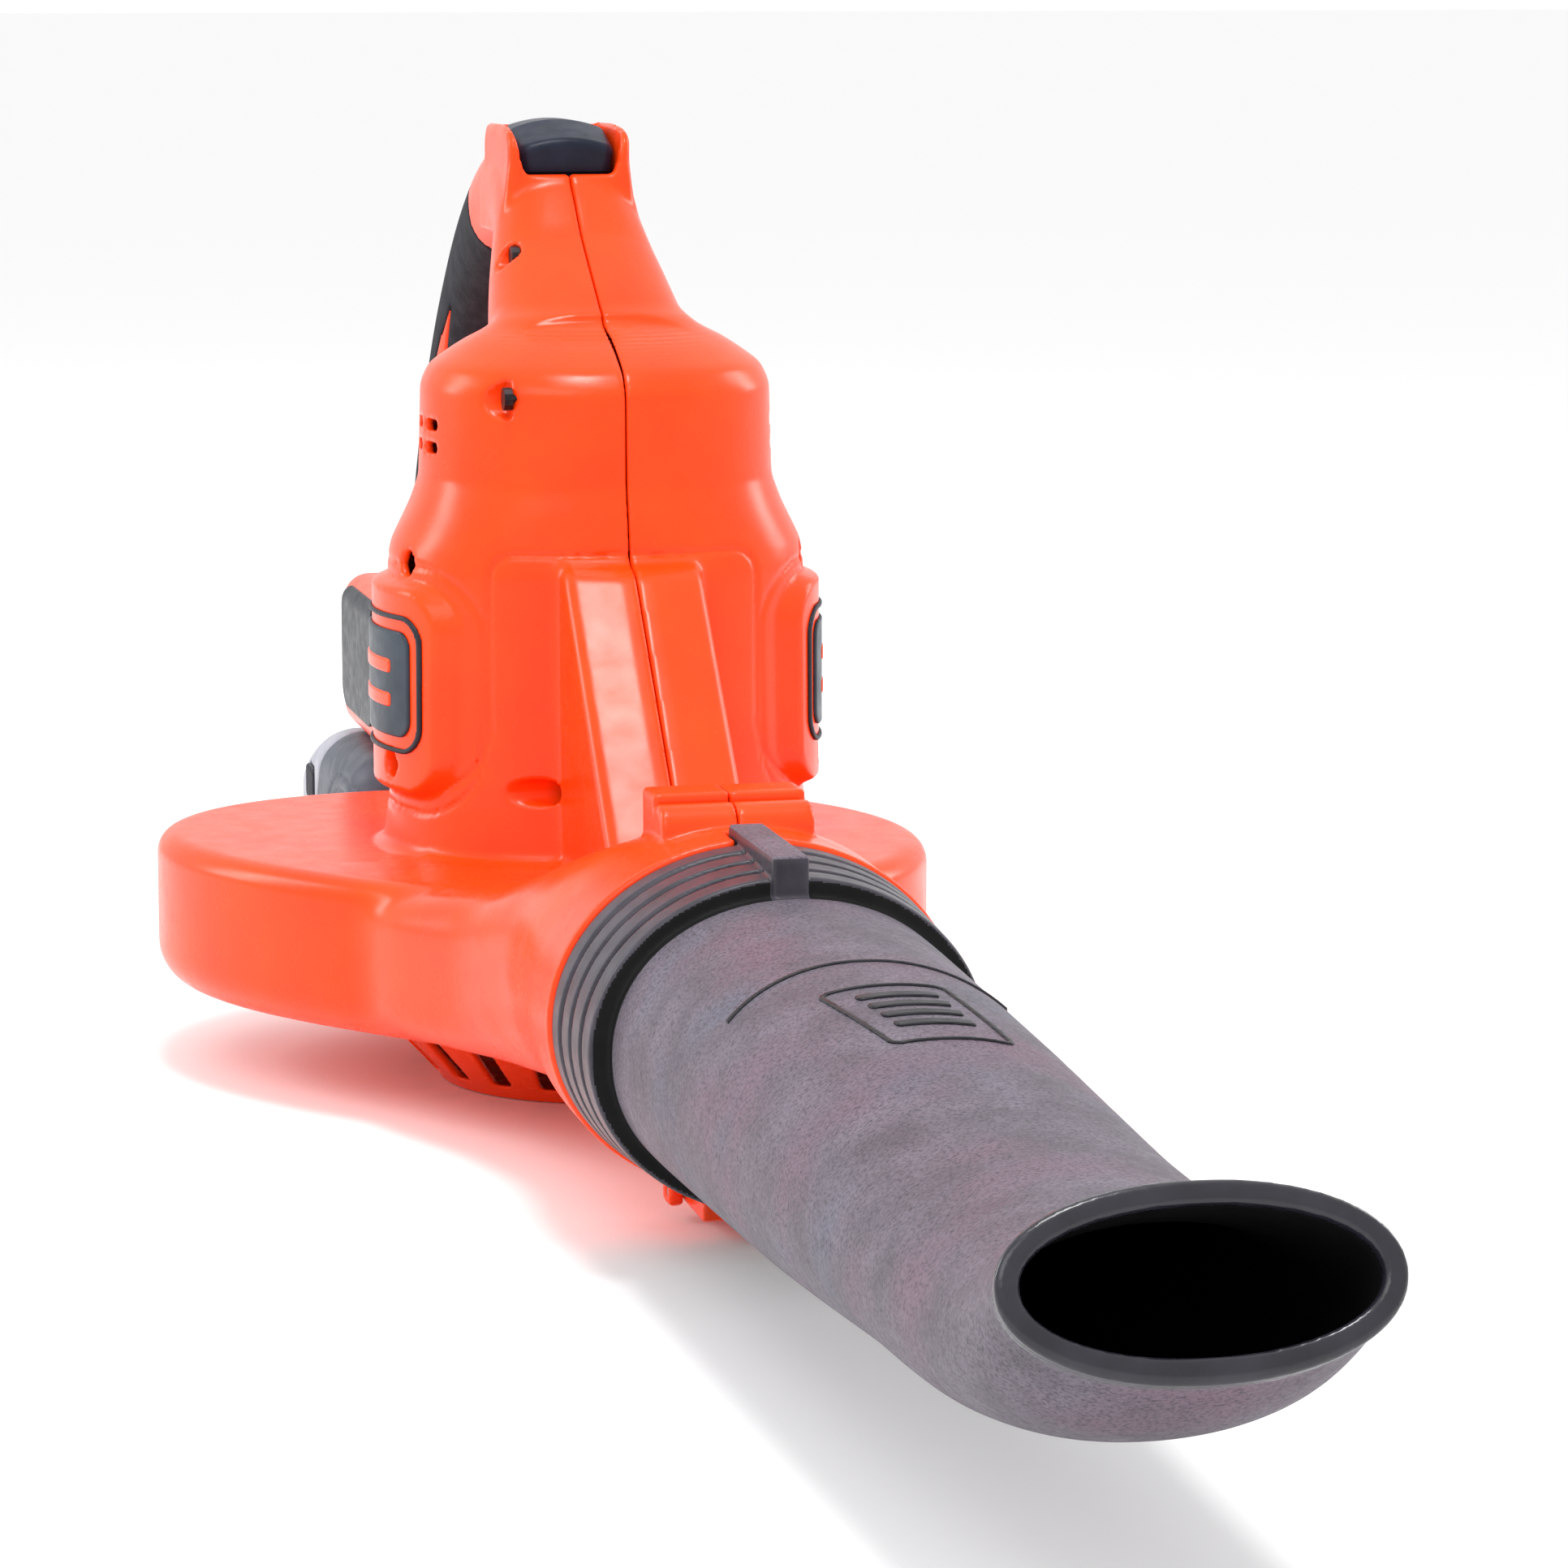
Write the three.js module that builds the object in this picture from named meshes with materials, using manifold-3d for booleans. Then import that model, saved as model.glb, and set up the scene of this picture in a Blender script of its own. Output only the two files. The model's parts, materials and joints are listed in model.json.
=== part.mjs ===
// Cordless garden leaf blower: an upright motor over a flat scroll fan, a D handle behind it,
// a battery under the handle's foot and a long duck-bill tube that pulls off the front.
// Millimetres, +Z up. The air leaves towards -Y. The origin is on the motor axis, in the flat
// bottom of the inlet guard, which the blower stands on together with its battery.

import * as THREE from 'three';
import { mergeVertices } from 'three/addons/utils/BufferGeometryUtils.js';
import Module from 'manifold-3d';

const wasm = await Module();
wasm.setup();

// ---------------------------------------------------------------- driving dimensions

const WALL = 3; // casing and tube wall
const GAP = 0.3; // between pieces that touch
const RUN = 0.5; // around pieces that move

const SCROLL = {
  bottom: 26, top: 75, radius: 103.5, growth: 42, peak: 148, spread: 42, lowEdge: 14, topEdge: 8,
};
const INLET_RADIUS = 60;
const GUARD = {
  topRadius: INLET_RADIUS + 10, bottomRadius: INLET_RADIUS - 9, slots: 20, slotWidth: 6.5, wall: 2.6,
};

const BODY = { halfX: 65, halfY: 58, middleY: 2, power: 2.1, shoulder: 171, neckBottom: 190 };
const NECK = { halfX: 55, halfY: 51, top: 220 };
const PAD = { low: 93, high: 158, halfY: 47, rise: 4.5, bevel: 3 };
const BADGE = { low: 107, high: 150, halfY: 31, thickness: 1.2 };
const RIDGE = { halfX: 21.5, topZ: 170, footY: -128, footZ: 94, topY: -60 };

const SOCKET = { y: -225, z: 62, halfX: 58, halfZ: 49.5, straight: 30 };
const SOCKET_LOW = SOCKET.z - SOCKET.halfZ;
const SOCKET_HIGH = SOCKET.z + SOCKET.halfZ;
const LATCH_BLOCK = { halfX: 21.5, front: SOCKET.y + 21, back: SOCKET.y + 47, rise: 8, nose: 8 };
const LUG = { halfX: 5, proud: 2.5, reach: 12 };

const SPIGOT = { length: 27, clearance: 1.2 };
const SEAL = { rear: SOCKET.y + 22, front: SOCKET.y + 17, depth: 1.6, proud: 0.8 };
const COLLAR = { length: 44, ribs: 4, groove: 2.6, taper: 2.7, solid: 0.74 };
const TUBE_ROOT = { halfX: SOCKET.halfX - 9, halfZ: SOCKET.halfZ - 8.5 };
const MOUTH = { y: -632, z: 90, halfX: 42, halfZ: 19, pitch: 25 };

const BUTTON = { halfX: 16, front: 46, back: 82, low: 274, top: 297, travel: 2.5, wall: 2.4, ear: 2.4 };
const TRIGGER = { halfX: 8, travel: 9 };

const FOOT = { halfX: 46, rear: 245, bottom: 78, top: 133, rounded: 14 };
const BATTERY = { halfX: 54, front: 165, rear: 306, split: 40, corner: 16, wall: 2.6 };
const PACK_TOP = FOOT.bottom - 1;
const RAIL = { halfX: 24, height: 6, front: BATTERY.front + 13, rear: FOOT.rear + 17 };
const CELL = { radius: 9.2, length: 65, columns: 5, rows: 2, pitch: 19.2 };
const RELEASE = { y: BATTERY.rear - 36, z: 53, halfY: 9, halfZ: 6, thick: 9.8, proud: 0.8, travel: 3 };

const MOTOR = { radius: 30, wall: 2, low: 96, high: 172, endBell: 14 };
const SHAFT_RADIUS = 4;
const ARMATURE = { radius: 20, low: 108, high: 150 };
const BEARING = { radius: 8, width: 7 };
const IMPELLER = {
  radius: SCROLL.radius - 17.5, plateLow: SCROLL.top - 13, plate: 2.4, bladeLow: SCROLL.bottom + 7,
  blades: 9, blade: 2.4, hub: 14,
};
const NUT = { radius: 8, height: 6 };

const SCREW = { head: 3.5, headHeight: 2.6, shank: 1.6, hole: 4, post: 6.5 };

// Points round each kind of outline. Hollows inside the casing use half as many.
const SIDES = [-1, 1]; // left and right
const POINTS = { scroll: 32, duct: 20, body: 24, handle: 12, foot: 16, tube: 20 };

// ---------------------------------------------------------------- materials

const finish = (color, roughness, metalness = 0) =>
  new THREE.MeshStandardMaterial({ color, roughness, metalness });
const orangePlastic = () => finish(0xff5a2d, 0.38);
const greyPlastic = () => finish(0x6f6a72, 0.62);
const blackPlastic = () => finish(0x23262e, 0.45);
const blackRubber = () => finish(0x2a2b30, 0.85);
const steel = () => finish(0xb4b6ba, 0.32, 1);
const copper = () => finish(0xb06a3c, 0.4, 1);
const magnetGrey = () => finish(0x3a3a3d, 0.7);
const boardGreen = () => finish(0x1f5a37, 0.55);
const cellBlue = () => finish(0x2c5f9e, 0.5);
const wireRed = () => finish(0x9c1f1f, 0.6);

// ---------------------------------------------------------------- solids

function solid(geometry) {
  const bare = geometry.clone();
  bare.deleteAttribute('normal');
  bare.deleteAttribute('uv');
  const merged = mergeVertices(bare, 1e-4);
  return new wasm.Manifold(new wasm.Mesh({
    numProp: 3,
    vertProperties: Float32Array.from(merged.attributes.position.array),
    triVerts: Uint32Array.from(merged.index.array),
  }));
}

function geometryOf(manifold) {
  const mesh = manifold.getMesh();
  const geometry = new THREE.BufferGeometry();
  geometry.setAttribute('position', new THREE.BufferAttribute(mesh.vertProperties, 3));
  geometry.setIndex(new THREE.BufferAttribute(mesh.triVerts, 1));
  return geometry;
}

const join = (...parts) => parts.reduce((all, next) => all.add(next));
const cut = (from, ...tools) => tools.reduce((left, tool) => left.subtract(tool), from);

// A closed solid through rings of equal point count, each a list of Vector3.
function loft(rings) {
  const count = rings[0].length;
  const points = rings.flat();
  const faces = [];
  for (let r = 0; r + 1 < rings.length; r += 1) {
    for (let i = 0; i < count; i += 1) {
      const a = r * count + i;
      const b = r * count + ((i + 1) % count);
      faces.push(a, b, b + count, a, b + count, a + count);
    }
  }
  for (const [ring, start, flip] of [[rings[0], 0, true], [rings.at(-1), points.length - count, false]]) {
    const centre = ring.reduce((sum, p) => sum.add(p), new THREE.Vector3()).divideScalar(count);
    const apex = points.length;
    points.push(centre);
    for (let i = 0; i < count; i += 1) {
      const a = start + i;
      const b = start + ((i + 1) % count);
      faces.push(...(flip ? [b, a, apex] : [a, b, apex]));
    }
  }
  return solid(outward(points, faces));
}

// Turns the faces round if the solid would be inside out.
function outward(points, faces) {
  let volume = 0;
  for (let i = 0; i < faces.length; i += 3) {
    const [a, b, c] = [points[faces[i]], points[faces[i + 1]], points[faces[i + 2]]];
    volume += a.dot(b.clone().cross(c));
  }
  const index = volume > 0 ? faces : faces.slice().reverse();
  return new THREE.BufferGeometry().setFromPoints(points).setIndex(index);
}

// A superellipse outline in its own plane: power 2 is an ellipse, more is boxier.
function oval(halfWide, halfHigh, power, count) {
  return Array.from({ length: count }, (_, i) => {
    const angle = (2 * Math.PI * i) / count;
    const [c, s] = [Math.cos(angle), Math.sin(angle)];
    return new THREE.Vector2(
      halfWide * Math.sign(c) * Math.abs(c) ** (2 / power),
      halfHigh * Math.sign(s) * Math.abs(s) ** (2 / power),
    );
  });
}

const level = (outline, z, y = 0) => outline.map((p) => new THREE.Vector3(p.x, y + p.y, z));
const upright = (outline, y, z, x = 0) => outline.map((p) => new THREE.Vector3(x + p.x, y, z + p.y));

// A box between two coordinates on each axis; the two X ones may come in either order.
function box(x0, x1, y0, y1, z0, z1) {
  const geometry = new THREE.BoxGeometry(Math.abs(x1 - x0), y1 - y0, z1 - z0);
  geometry.translate((x0 + x1) / 2, (y0 + y1) / 2, (z0 + z1) / 2);
  return solid(geometry);
}

// A cylinder along 'x', 'y' or 'z' from one coordinate to another, about a centre line.
function rod(axis, radius, from, to, a, b, sides = 16) {
  const geometry = new THREE.CylinderGeometry(radius, radius, Math.abs(to - from), sides);
  const middle = (from + to) / 2;
  if (axis === 'x') geometry.rotateZ(Math.PI / 2).translate(middle, a, b);
  if (axis === 'y') geometry.translate(a, middle, b);
  if (axis === 'z') geometry.rotateX(Math.PI / 2).translate(a, b, middle);
  return solid(geometry);
}

// A solid of revolution about Z from [radius, height] pairs, starting and ending on the axis
// or closing on itself.
function turned(profile, sides = 32) {
  const points = profile.map(([r, z]) => new THREE.Vector2(r, z));
  const geometry = new THREE.LatheGeometry(points, sides);
  geometry.rotateX(Math.PI / 2);
  const made = geometry.index.array;
  const corners = geometry.attributes.position;
  const list = Array.from(
    { length: corners.count },
    (_, i) => new THREE.Vector3().fromBufferAttribute(corners, i),
  );
  return solid(outward(list, Array.from(made)));
}

// A flat ring about Z between two radii and two heights.
const washer = (inner, outer, low, high, sides = 32) =>
  turned([[inner, low], [outer, low], [outer, high], [inner, high], [inner, low]], sides);

// A flat shape in the YZ plane, given as [y, z] pairs, widened along X.
function plate(outline, x0, x1) {
  const shape = new THREE.Shape(outline.map(([y, z]) => new THREE.Vector2(y, z)));
  const geometry = new THREE.ExtrudeGeometry(shape, { depth: Math.abs(x1 - x0), bevelEnabled: false });
  geometry.rotateX(Math.PI / 2).rotateZ(Math.PI / 2).translate(Math.min(x0, x1), 0, 0);
  return solid(geometry);
}

// A round wire or lead along a curve.
function wire(curve, radius, steps, sides = 8) {
  const section = new THREE.Shape(oval(radius, radius, 2, sides));
  const geometry = new THREE.ExtrudeGeometry(section, { steps, bevelEnabled: false, extrudePath: curve });
  return solid(geometry);
}

class Helix extends THREE.Curve {
  constructor(centre, radius, pitch, turns, axis) {
    super();
    Object.assign(this, { centre, radius, pitch, turns, axis });
  }
  getPoint(t, target = new THREE.Vector3()) {
    const angle = 2 * Math.PI * this.turns * t;
    const along = this.pitch * this.turns * (t - 0.5);
    const [c, s] = [this.radius * Math.cos(angle), this.radius * Math.sin(angle)];
    if (this.axis === 'x') return target.set(along, c, s).add(this.centre);
    return target.set(c, s, along).add(this.centre);
  }
}

const spring = (centre, radius, wireRadius, pitch, turns, axis) =>
  wire(new Helix(centre, radius, pitch, turns, axis), wireRadius, Math.round(turns * 9), 5);

// ---------------------------------------------------------------- fan scroll and outlet duct

function scrollRadius(degrees) {
  const away = (degrees - SCROLL.peak) / SCROLL.spread;
  return SCROLL.radius + SCROLL.growth * Math.exp(-away * away);
}

// The scroll's plan outline, pulled in by an inset, at a height.
function scrollRing(inset, z, count) {
  return Array.from({ length: count }, (_, i) => {
    const degrees = (360 * i) / count;
    const r = scrollRadius(degrees) - inset;
    const angle = THREE.MathUtils.degToRad(degrees);
    return new THREE.Vector3(r * Math.cos(angle), r * Math.sin(angle), z);
  });
}

// The scroll between two heights, with rounded low and high edges.
function scrollSolid(inset, low, high, lowEdge, highEdge) {
  const rings = [];
  const steps = inset ? 2 : 3;
  const count = inset ? POINTS.scroll / 2 : POINTS.scroll;
  for (let i = 0; i <= steps; i += 1) {
    const angle = (Math.PI / 2) * (i / steps);
    const pulledIn = inset + lowEdge * (1 - Math.sin(angle));
    rings.push(scrollRing(pulledIn, low + lowEdge * (1 - Math.cos(angle)), count));
  }
  for (let i = 0; i <= steps; i += 1) {
    const angle = (Math.PI / 2) * (i / steps);
    const pulledIn = inset + highEdge * (1 - Math.cos(angle));
    rings.push(scrollRing(pulledIn, high - highEdge * (1 - Math.sin(angle)), count));
  }
  return loft(rings);
}

// The outlet duct runs forward from the scroll and rises into the oval socket. Each station
// has its own low and high height, so that the floor stays level until just behind the socket.
function ductSolid(inset, from, to) {
  const { bottom, top } = SCROLL;
  const { y, halfX, straight } = SOCKET;
  const stations = [
    { y: -30, x: -9, low: bottom, high: top, halfX: 84, power: 6 },
    { y: -78, x: -7, low: bottom, high: top + 1, halfX: 73, power: 5 },
    { y: -118, x: -2, low: bottom, high: top + 9, halfX: 62, power: 3.6 },
    { y: y + 70, x: 0, low: bottom - 1, high: SOCKET_HIGH - 11, halfX: halfX - 2, power: 2.7 },
    { y: y + 43, x: 0, low: bottom - 4, high: SOCKET_HIGH - 3, halfX: halfX - 2, power: 2.3 },
    { y: y + straight, x: 0, low: SOCKET_LOW, high: SOCKET_HIGH, halfX, power: 2 },
    { y, x: 0, low: SOCKET_LOW, high: SOCKET_HIGH, halfX, power: 2 },
  ];
  const rings = stations.map((s) => upright(
    oval(s.halfX - inset, (s.high - s.low) / 2 - inset, s.power, POINTS.duct),
    s.y, (s.low + s.high) / 2, s.x,
  ));
  rings[0].forEach((p) => { p.y = from; });
  rings.at(-1).forEach((p) => { p.y = to; });
  return loft(rings);
}

// ---------------------------------------------------------------- motor housing

const BODY_LEVELS = [
  { z: 66, halfX: BODY.halfX + 3, halfY: BODY.halfY + 3 },
  { z: 92, halfX: BODY.halfX, halfY: BODY.halfY },
  { z: BODY.shoulder - 5, halfX: BODY.halfX, halfY: BODY.halfY - 2 },
  { z: BODY.shoulder, halfX: BODY.halfX - 1.5, halfY: BODY.halfY - 4 },
  { z: BODY.neckBottom - 8, halfX: NECK.halfX + 3, halfY: NECK.halfY + 2 },
  { z: BODY.neckBottom, halfX: NECK.halfX, halfY: NECK.halfY },
  { z: NECK.top, halfX: NECK.halfX - 1, halfY: NECK.halfY - 1 },
  { z: NECK.top + 8, halfX: NECK.halfX - 6, halfY: NECK.halfY - 8 },
  { z: NECK.top + 14, halfX: NECK.halfX - 15, halfY: NECK.halfY - 22 },
  { z: NECK.top + 18, halfX: 32, halfY: 14 },
];

const bodyRing = (halfX, halfY, z, count) => level(oval(halfX, halfY, BODY.power, count), z, BODY.middleY);

function bodySolid(inset, low, high) {
  const count = inset ? POINTS.body / 2 : POINTS.body;
  const rings = BODY_LEVELS.map((s) => bodyRing(s.halfX - inset, s.halfY - inset, s.z, count));
  rings[0].forEach((p) => { p.z = low; });
  rings.at(-1).forEach((p) => { p.z = high; });
  return loft(rings);
}

// A rounded pad that stands proud of each side and carries the badge.
function pads() {
  const { low, high, halfY, rise, bevel } = PAD;
  const outline = (grow, z) => bodyRing(BODY.halfX + grow, BODY.halfY + grow, z, POINTS.body);
  const band = loft([
    outline(0.5, low),
    outline(rise, low + bevel),
    outline(rise, high - bevel),
    outline(0.5, high),
  ]);
  const reach = BODY.halfX + 2 * rise;
  return band.intersect(join(
    box(-reach, -20, -halfY, halfY, low, high),
    box(20, reach, -halfY, halfY, low, high),
  ));
}

// The ridge that runs from the motor housing down on to the duct.
function ridge(inset) {
  const half = RIDGE.halfX - inset;
  const low = SCROLL.top - 5;
  const back = -20;
  return plate([
    [back, RIDGE.topZ + 4 - inset],
    [RIDGE.topY + 6, RIDGE.topZ + 3 - inset],
    [RIDGE.topY + inset, RIDGE.topZ - 2 - inset],
    [RIDGE.footY + inset, RIDGE.footZ],
    [RIDGE.footY + inset, low],
    [back, low],
  ], -half, half);
}

// The round-nosed block over the socket that the tube's lug slides under.
function latchBlock() {
  const { halfX, front, back, rise, nose: radius } = LATCH_BLOCK;
  const low = SOCKET_HIGH - 8;
  const top = SOCKET_HIGH + rise;
  const nose = Array.from({ length: 7 }, (_, i) => {
    const angle = Math.PI / 2 + (Math.PI * i) / 6;
    return [front + radius + radius * Math.cos(angle), top - radius + radius * Math.sin(angle)];
  });
  return plate([[back, low], [back, top], ...nose, [front + radius, low]], -halfX, halfX);
}

// ---------------------------------------------------------------- handle

// The handle's centre line in the YZ plane, with half width and half thickness at each point.
const HANDLE_PATH = [
  { y: 4, z: 222, halfX: 33, half: 24 },
  { y: 34, z: 247, halfX: 27.5, half: 20 },
  { y: 60, z: 271, halfX: 20.5, half: 17.5 },
  { y: 97, z: 275, halfX: 18.5, half: 16.5 },
  { y: 134, z: 262, halfX: 18.5, half: 17 },
  { y: 168, z: 237, halfX: 19.5, half: 17.5 },
  { y: 196, z: 200, halfX: 21.5, half: 18.5 },
  { y: 205, z: 160, halfX: 25, half: 21 },
  { y: 203, z: 120, halfX: 30, half: 26 },
];
const handleCurve = new THREE.CatmullRomCurve3(HANDLE_PATH.map((p) => new THREE.Vector3(0, p.y, p.z)));

// Half width and half thickness at a place from 0 to 1 along the handle.
function handleSize(t) {
  const place = t * (HANDLE_PATH.length - 1);
  const i = Math.min(Math.floor(place), HANDLE_PATH.length - 2);
  const [a, b] = [HANDLE_PATH[i], HANDLE_PATH[i + 1]];
  const mix = (p, q) => p + (q - p) * (place - i);
  return { halfX: mix(a.halfX, b.halfX), half: mix(a.half, b.half) };
}

function handleFrame(t) {
  const centre = handleCurve.getPoint(t);
  const along = handleCurve.getTangent(t);
  const out = new THREE.Vector3(0, -along.z, along.y);
  return { centre, along, out };
}

function handleSolid(grow, from, to, steps) {
  const rings = [];
  for (let i = 0; i <= steps; i += 1) {
    const t = from + ((to - from) * i) / steps;
    const { centre, out } = handleFrame(t);
    const { halfX, half } = handleSize(t);
    rings.push(oval(halfX + grow, half + grow, 2.5, POINTS.handle).map((p) =>
      centre.clone().addScaledVector(out, p.y).add(new THREE.Vector3(p.x, 0, 0))));
  }
  return loft(rings);
}

const GRIP = { from: 0.47, to: 0.86, depth: 2 };

const gripSleeve = (outer, inner, margin) => cut(
  handleSolid(outer, GRIP.from - margin, GRIP.to + margin, 8),
  handleSolid(inner, GRIP.from - 0.05, GRIP.to + 0.05, 10),
);

// ---------------------------------------------------------------- rear foot

function footSolid(inset) {
  const { halfX, rear, bottom, top, rounded } = FOOT;
  const middle = (bottom + top) / 2;
  const half = (top - bottom) / 2;
  return loft([
    upright(oval(halfX - 4 - inset, half - inset, 5, POINTS.foot), 20, middle),
    upright(oval(halfX - inset, half - inset, 5, POINTS.foot), 120, middle),
    upright(oval(halfX - inset, half - inset, 5, POINTS.foot), rear - rounded - inset, middle),
    upright(oval(halfX - 3 - inset, half - 3 - inset, 4, POINTS.foot), rear - rounded / 3 - inset, middle),
    upright(oval(halfX - 9 - inset, half - 9 - inset, 4, POINTS.foot), rear - inset, middle),
  ]);
}

// ---------------------------------------------------------------- screws

// Long screws cross from the left half into the right one, along X at a place in Y and Z.
const CASE_SCREWS = {
  neck: { y: -38, z: 217, left: -36, hole: 6.3 },
  handle: { y: 26, z: 256, left: -22, hole: 4 },
  front: { y: -50, z: 98, left: -20, hole: 4 },
  foot: { y: 226, z: 112, left: -36, hole: 4 },
};
// Short screws go in from each side and hold the motor mounts.
const MOUNT_SCREW = { y: -14, tip: BODY.halfX - 23, head: BODY.halfX - 8 };
const MOUNT_LEVELS = { lower: 103, upper: 165 };
const MOUNT_HEIGHT = 8;

const CASE_SCREW_TIP = 14;

function screw(y, z, headX, tipX) {
  const inward = Math.sign(tipX - headX);
  const under = headX + inward * SCREW.headHeight;
  return join(
    rod('x', SCREW.head, headX, under, y, z, 12),
    rod('x', SCREW.shank, under - inward * 0.5, tipX, y, z, 8),
  );
}

const caseScrew = ({ y, z, left }) => screw(y, z, left, CASE_SCREW_TIP);

// ---------------------------------------------------------------- casing halves

function casing() {
  const outer = join(
    scrollSolid(0, SCROLL.bottom, SCROLL.top, SCROLL.lowEdge, SCROLL.topEdge),
    ductSolid(0, -30, SOCKET.y),
    bodySolid(0, 66, NECK.top + 18),
    pads(),
    ridge(0),
    latchBlock(),
    handleSolid(0, 0, 1, 12),
    footSolid(0),
    buttonEars(),
    latchLugs(),
  );
  const posts = join(...Object.values(CASE_SCREWS).map((s) => rod('x', SCREW.post, -90, 90, s.y, s.z, 12)));
  const mountBosses = join(...Object.values(MOUNT_LEVELS).flatMap((z) => SIDES.map((side) =>
    rod('x', SCREW.post, side * (MOUNT_SCREW.tip + 8), side * 90, MOUNT_SCREW.y, z, 12))));
  const hollow = join(
    scrollSolid(WALL, SCROLL.bottom + WALL, SCROLL.top - WALL, SCROLL.lowEdge - WALL, SCROLL.topEdge - WALL),
    ductSolid(WALL, -30, SOCKET.y - 1),
  );
  const motorRoom = join(
    bodySolid(WALL, SCROLL.top + WALL, NECK.top + 14),
    ridge(WALL).intersect(box(-60, 60, -200, 0, SCROLL.top + WALL, 200)),
    handleSolid(-WALL - GRIP.depth, 0.02, 1, 12),
    footSolid(WALL),
  );
  const dividers = join(posts, mountBosses);
  const motorSpace = cut(motorRoom, dividers, keepOut());
  return cut(
    outer,
    hollow,
    motorSpace,
    rod('z', INLET_RADIUS, SCROLL.bottom - 5, SCROLL.bottom + WALL + 5, 0, 0, 48),
    rod('z', 18, SCROLL.top - WALL - 2, SCROLL.top + WALL + 3, 0, 0, 24),
    gripSleeve(6, -GRIP.depth, 0),
    screwHoles(),
    vents(),
    buttonRecess(),
    triggerSlot(),
    lugSlot(),
    latchWindow(),
    batteryRecess(),
  );
}

// The top of the outlet duct stays closed where the ridge and the motor room pass over it.
const keepOut = () => ductSolid(0, -30, SOCKET.y);

function screwHoles() {
  const long = Object.values(CASE_SCREWS).map(({ y, z, left, hole }) => join(
    rod('x', hole, -90, left + SCREW.headHeight + GAP, y, z, 12),
    rod('x', SCREW.shank + GAP, left, CASE_SCREW_TIP + 2, y, z, 8),
  ));
  const short = Object.values(MOUNT_LEVELS).flatMap((z) => SIDES.map((side) => {
    const seat = side * (MOUNT_SCREW.head - SCREW.headHeight - GAP);
    return join(
      rod('x', SCREW.hole, seat, side * 90, MOUNT_SCREW.y, z, 12),
      rod('x', SCREW.shank + GAP, side * (MOUNT_SCREW.tip - 2), seat + side, MOUNT_SCREW.y, z, 8),
    );
  }));
  return join(...long, ...short);
}

const VENT = { columns: [-8, 6, 20], rows: [NECK.top - 20, NECK.top - 13], halfY: 5, halfZ: 1.6 };

// Cooling slots high on both sides of the neck.
function vents() {
  const { columns, rows, halfY, halfZ } = VENT;
  const [near, far] = [NECK.halfX - 15, NECK.halfX + 15];
  return join(...SIDES.flatMap((side) => columns.flatMap((y) => rows.map((z) =>
    box(side * near, side * far, y - halfY, y + halfY, z - halfZ, z + halfZ)))));
}

// ---------------------------------------------------------------- top button

const BUTTON_SLOPE = 0.32; // of its top, in front of its middle
const BUTTON_MIDDLE = BUTTON.front + 20;
const buttonTop = (y) => BUTTON.top - BUTTON_SLOPE * Math.max(0, BUTTON_MIDDLE - y);

function topButton() {
  const { front, back, halfX, low, wall } = BUTTON;
  const crown = [back, BUTTON_MIDDLE, front + 8, front].map((y) => [y, buttonTop(y)]);
  return cut(
    plate([[back, low], ...crown, [front, low]], -halfX, halfX),
    box(-halfX + wall, halfX - wall, front + 3, back - 3, low - 4, low + 7),
  );
}

// Two low walls that stand beside the button.
function buttonEars() {
  const { front, back, halfX, low, top, ear } = BUTTON;
  const outline = [
    [front - 4, low - 6], [front - 4, low + 7], [front + 8, top - 6], [BUTTON_MIDDLE, top - 2.5],
    [back + 2, top - 2], [back + 6, low - 6],
  ];
  return join(...SIDES.map((side) => plate(outline, side * (halfX - 4), side * (halfX + ear))));
}

const buttonRecess = () => box(
  -BUTTON.halfX - RUN, BUTTON.halfX + RUN, BUTTON.front - RUN, BUTTON.back + RUN,
  BUTTON.low - BUTTON.travel - RUN, BUTTON.top + 10);

const buttonSpring = () => spring(new THREE.Vector3(0, BUTTON.back - 8, BUTTON.low + 0.5), 3, 0.5, 3, 4, 'z');

// The switch under the button, with its plunger just clear of the pressed button.
function boostSwitch() {
  const { front, low } = BUTTON;
  return join(
    box(-5, 5, front + 11, front + 23, low - 10, low - 4.5),
    box(-1.5, 1.5, front + 14, front + 17, low - 5, low - 3),
  );
}

// ---------------------------------------------------------------- trigger

const TRIGGER_PLACE = 0.5; // along the handle
const TRIGGER_FRAME = handleFrame(TRIGGER_PLACE);

// A point u along the handle and w into the hand opening from the handle's centre line.
function triggerPoint([u, w]) {
  const p = TRIGGER_FRAME.centre.clone()
    .addScaledVector(TRIGGER_FRAME.along, u)
    .addScaledVector(TRIGGER_FRAME.out, -w);
  return [p.y, p.z];
}

const TRIGGER_PIVOT = [-19, 7];
const pivotYZ = triggerPoint(TRIGGER_PIVOT);
const PIN_RADIUS = 2;

// Its finger face is hollowed between the pivot end and a hooked tip.
function trigger() {
  const outline = [
    [-24, 3.5], [-24, 13], [-17, 21], [-6, 25], [8, 24], [16, 27], [20, 24], [20, 4.5], [-14, 3.5],
  ];
  return cut(
    plate(outline.map(triggerPoint), -TRIGGER.halfX, TRIGGER.halfX),
    rod('x', PIN_RADIUS + GAP, -20, 20, ...pivotYZ, 12),
    rod('x', 4.2, -2.6, 2.6, ...pivotYZ, 12),
  );
}

// The slot that the trigger swings in; its tip moves along the handle as it goes in.
function triggerSlot() {
  const [start, end] = [-25.5, 20 + RUN + 0.3 * TRIGGER.travel];
  const half = TRIGGER.halfX + RUN;
  return plate([[start, 10], [start, 30], [end, 30], [end, 10]].map(triggerPoint), -half, half);
}

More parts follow.
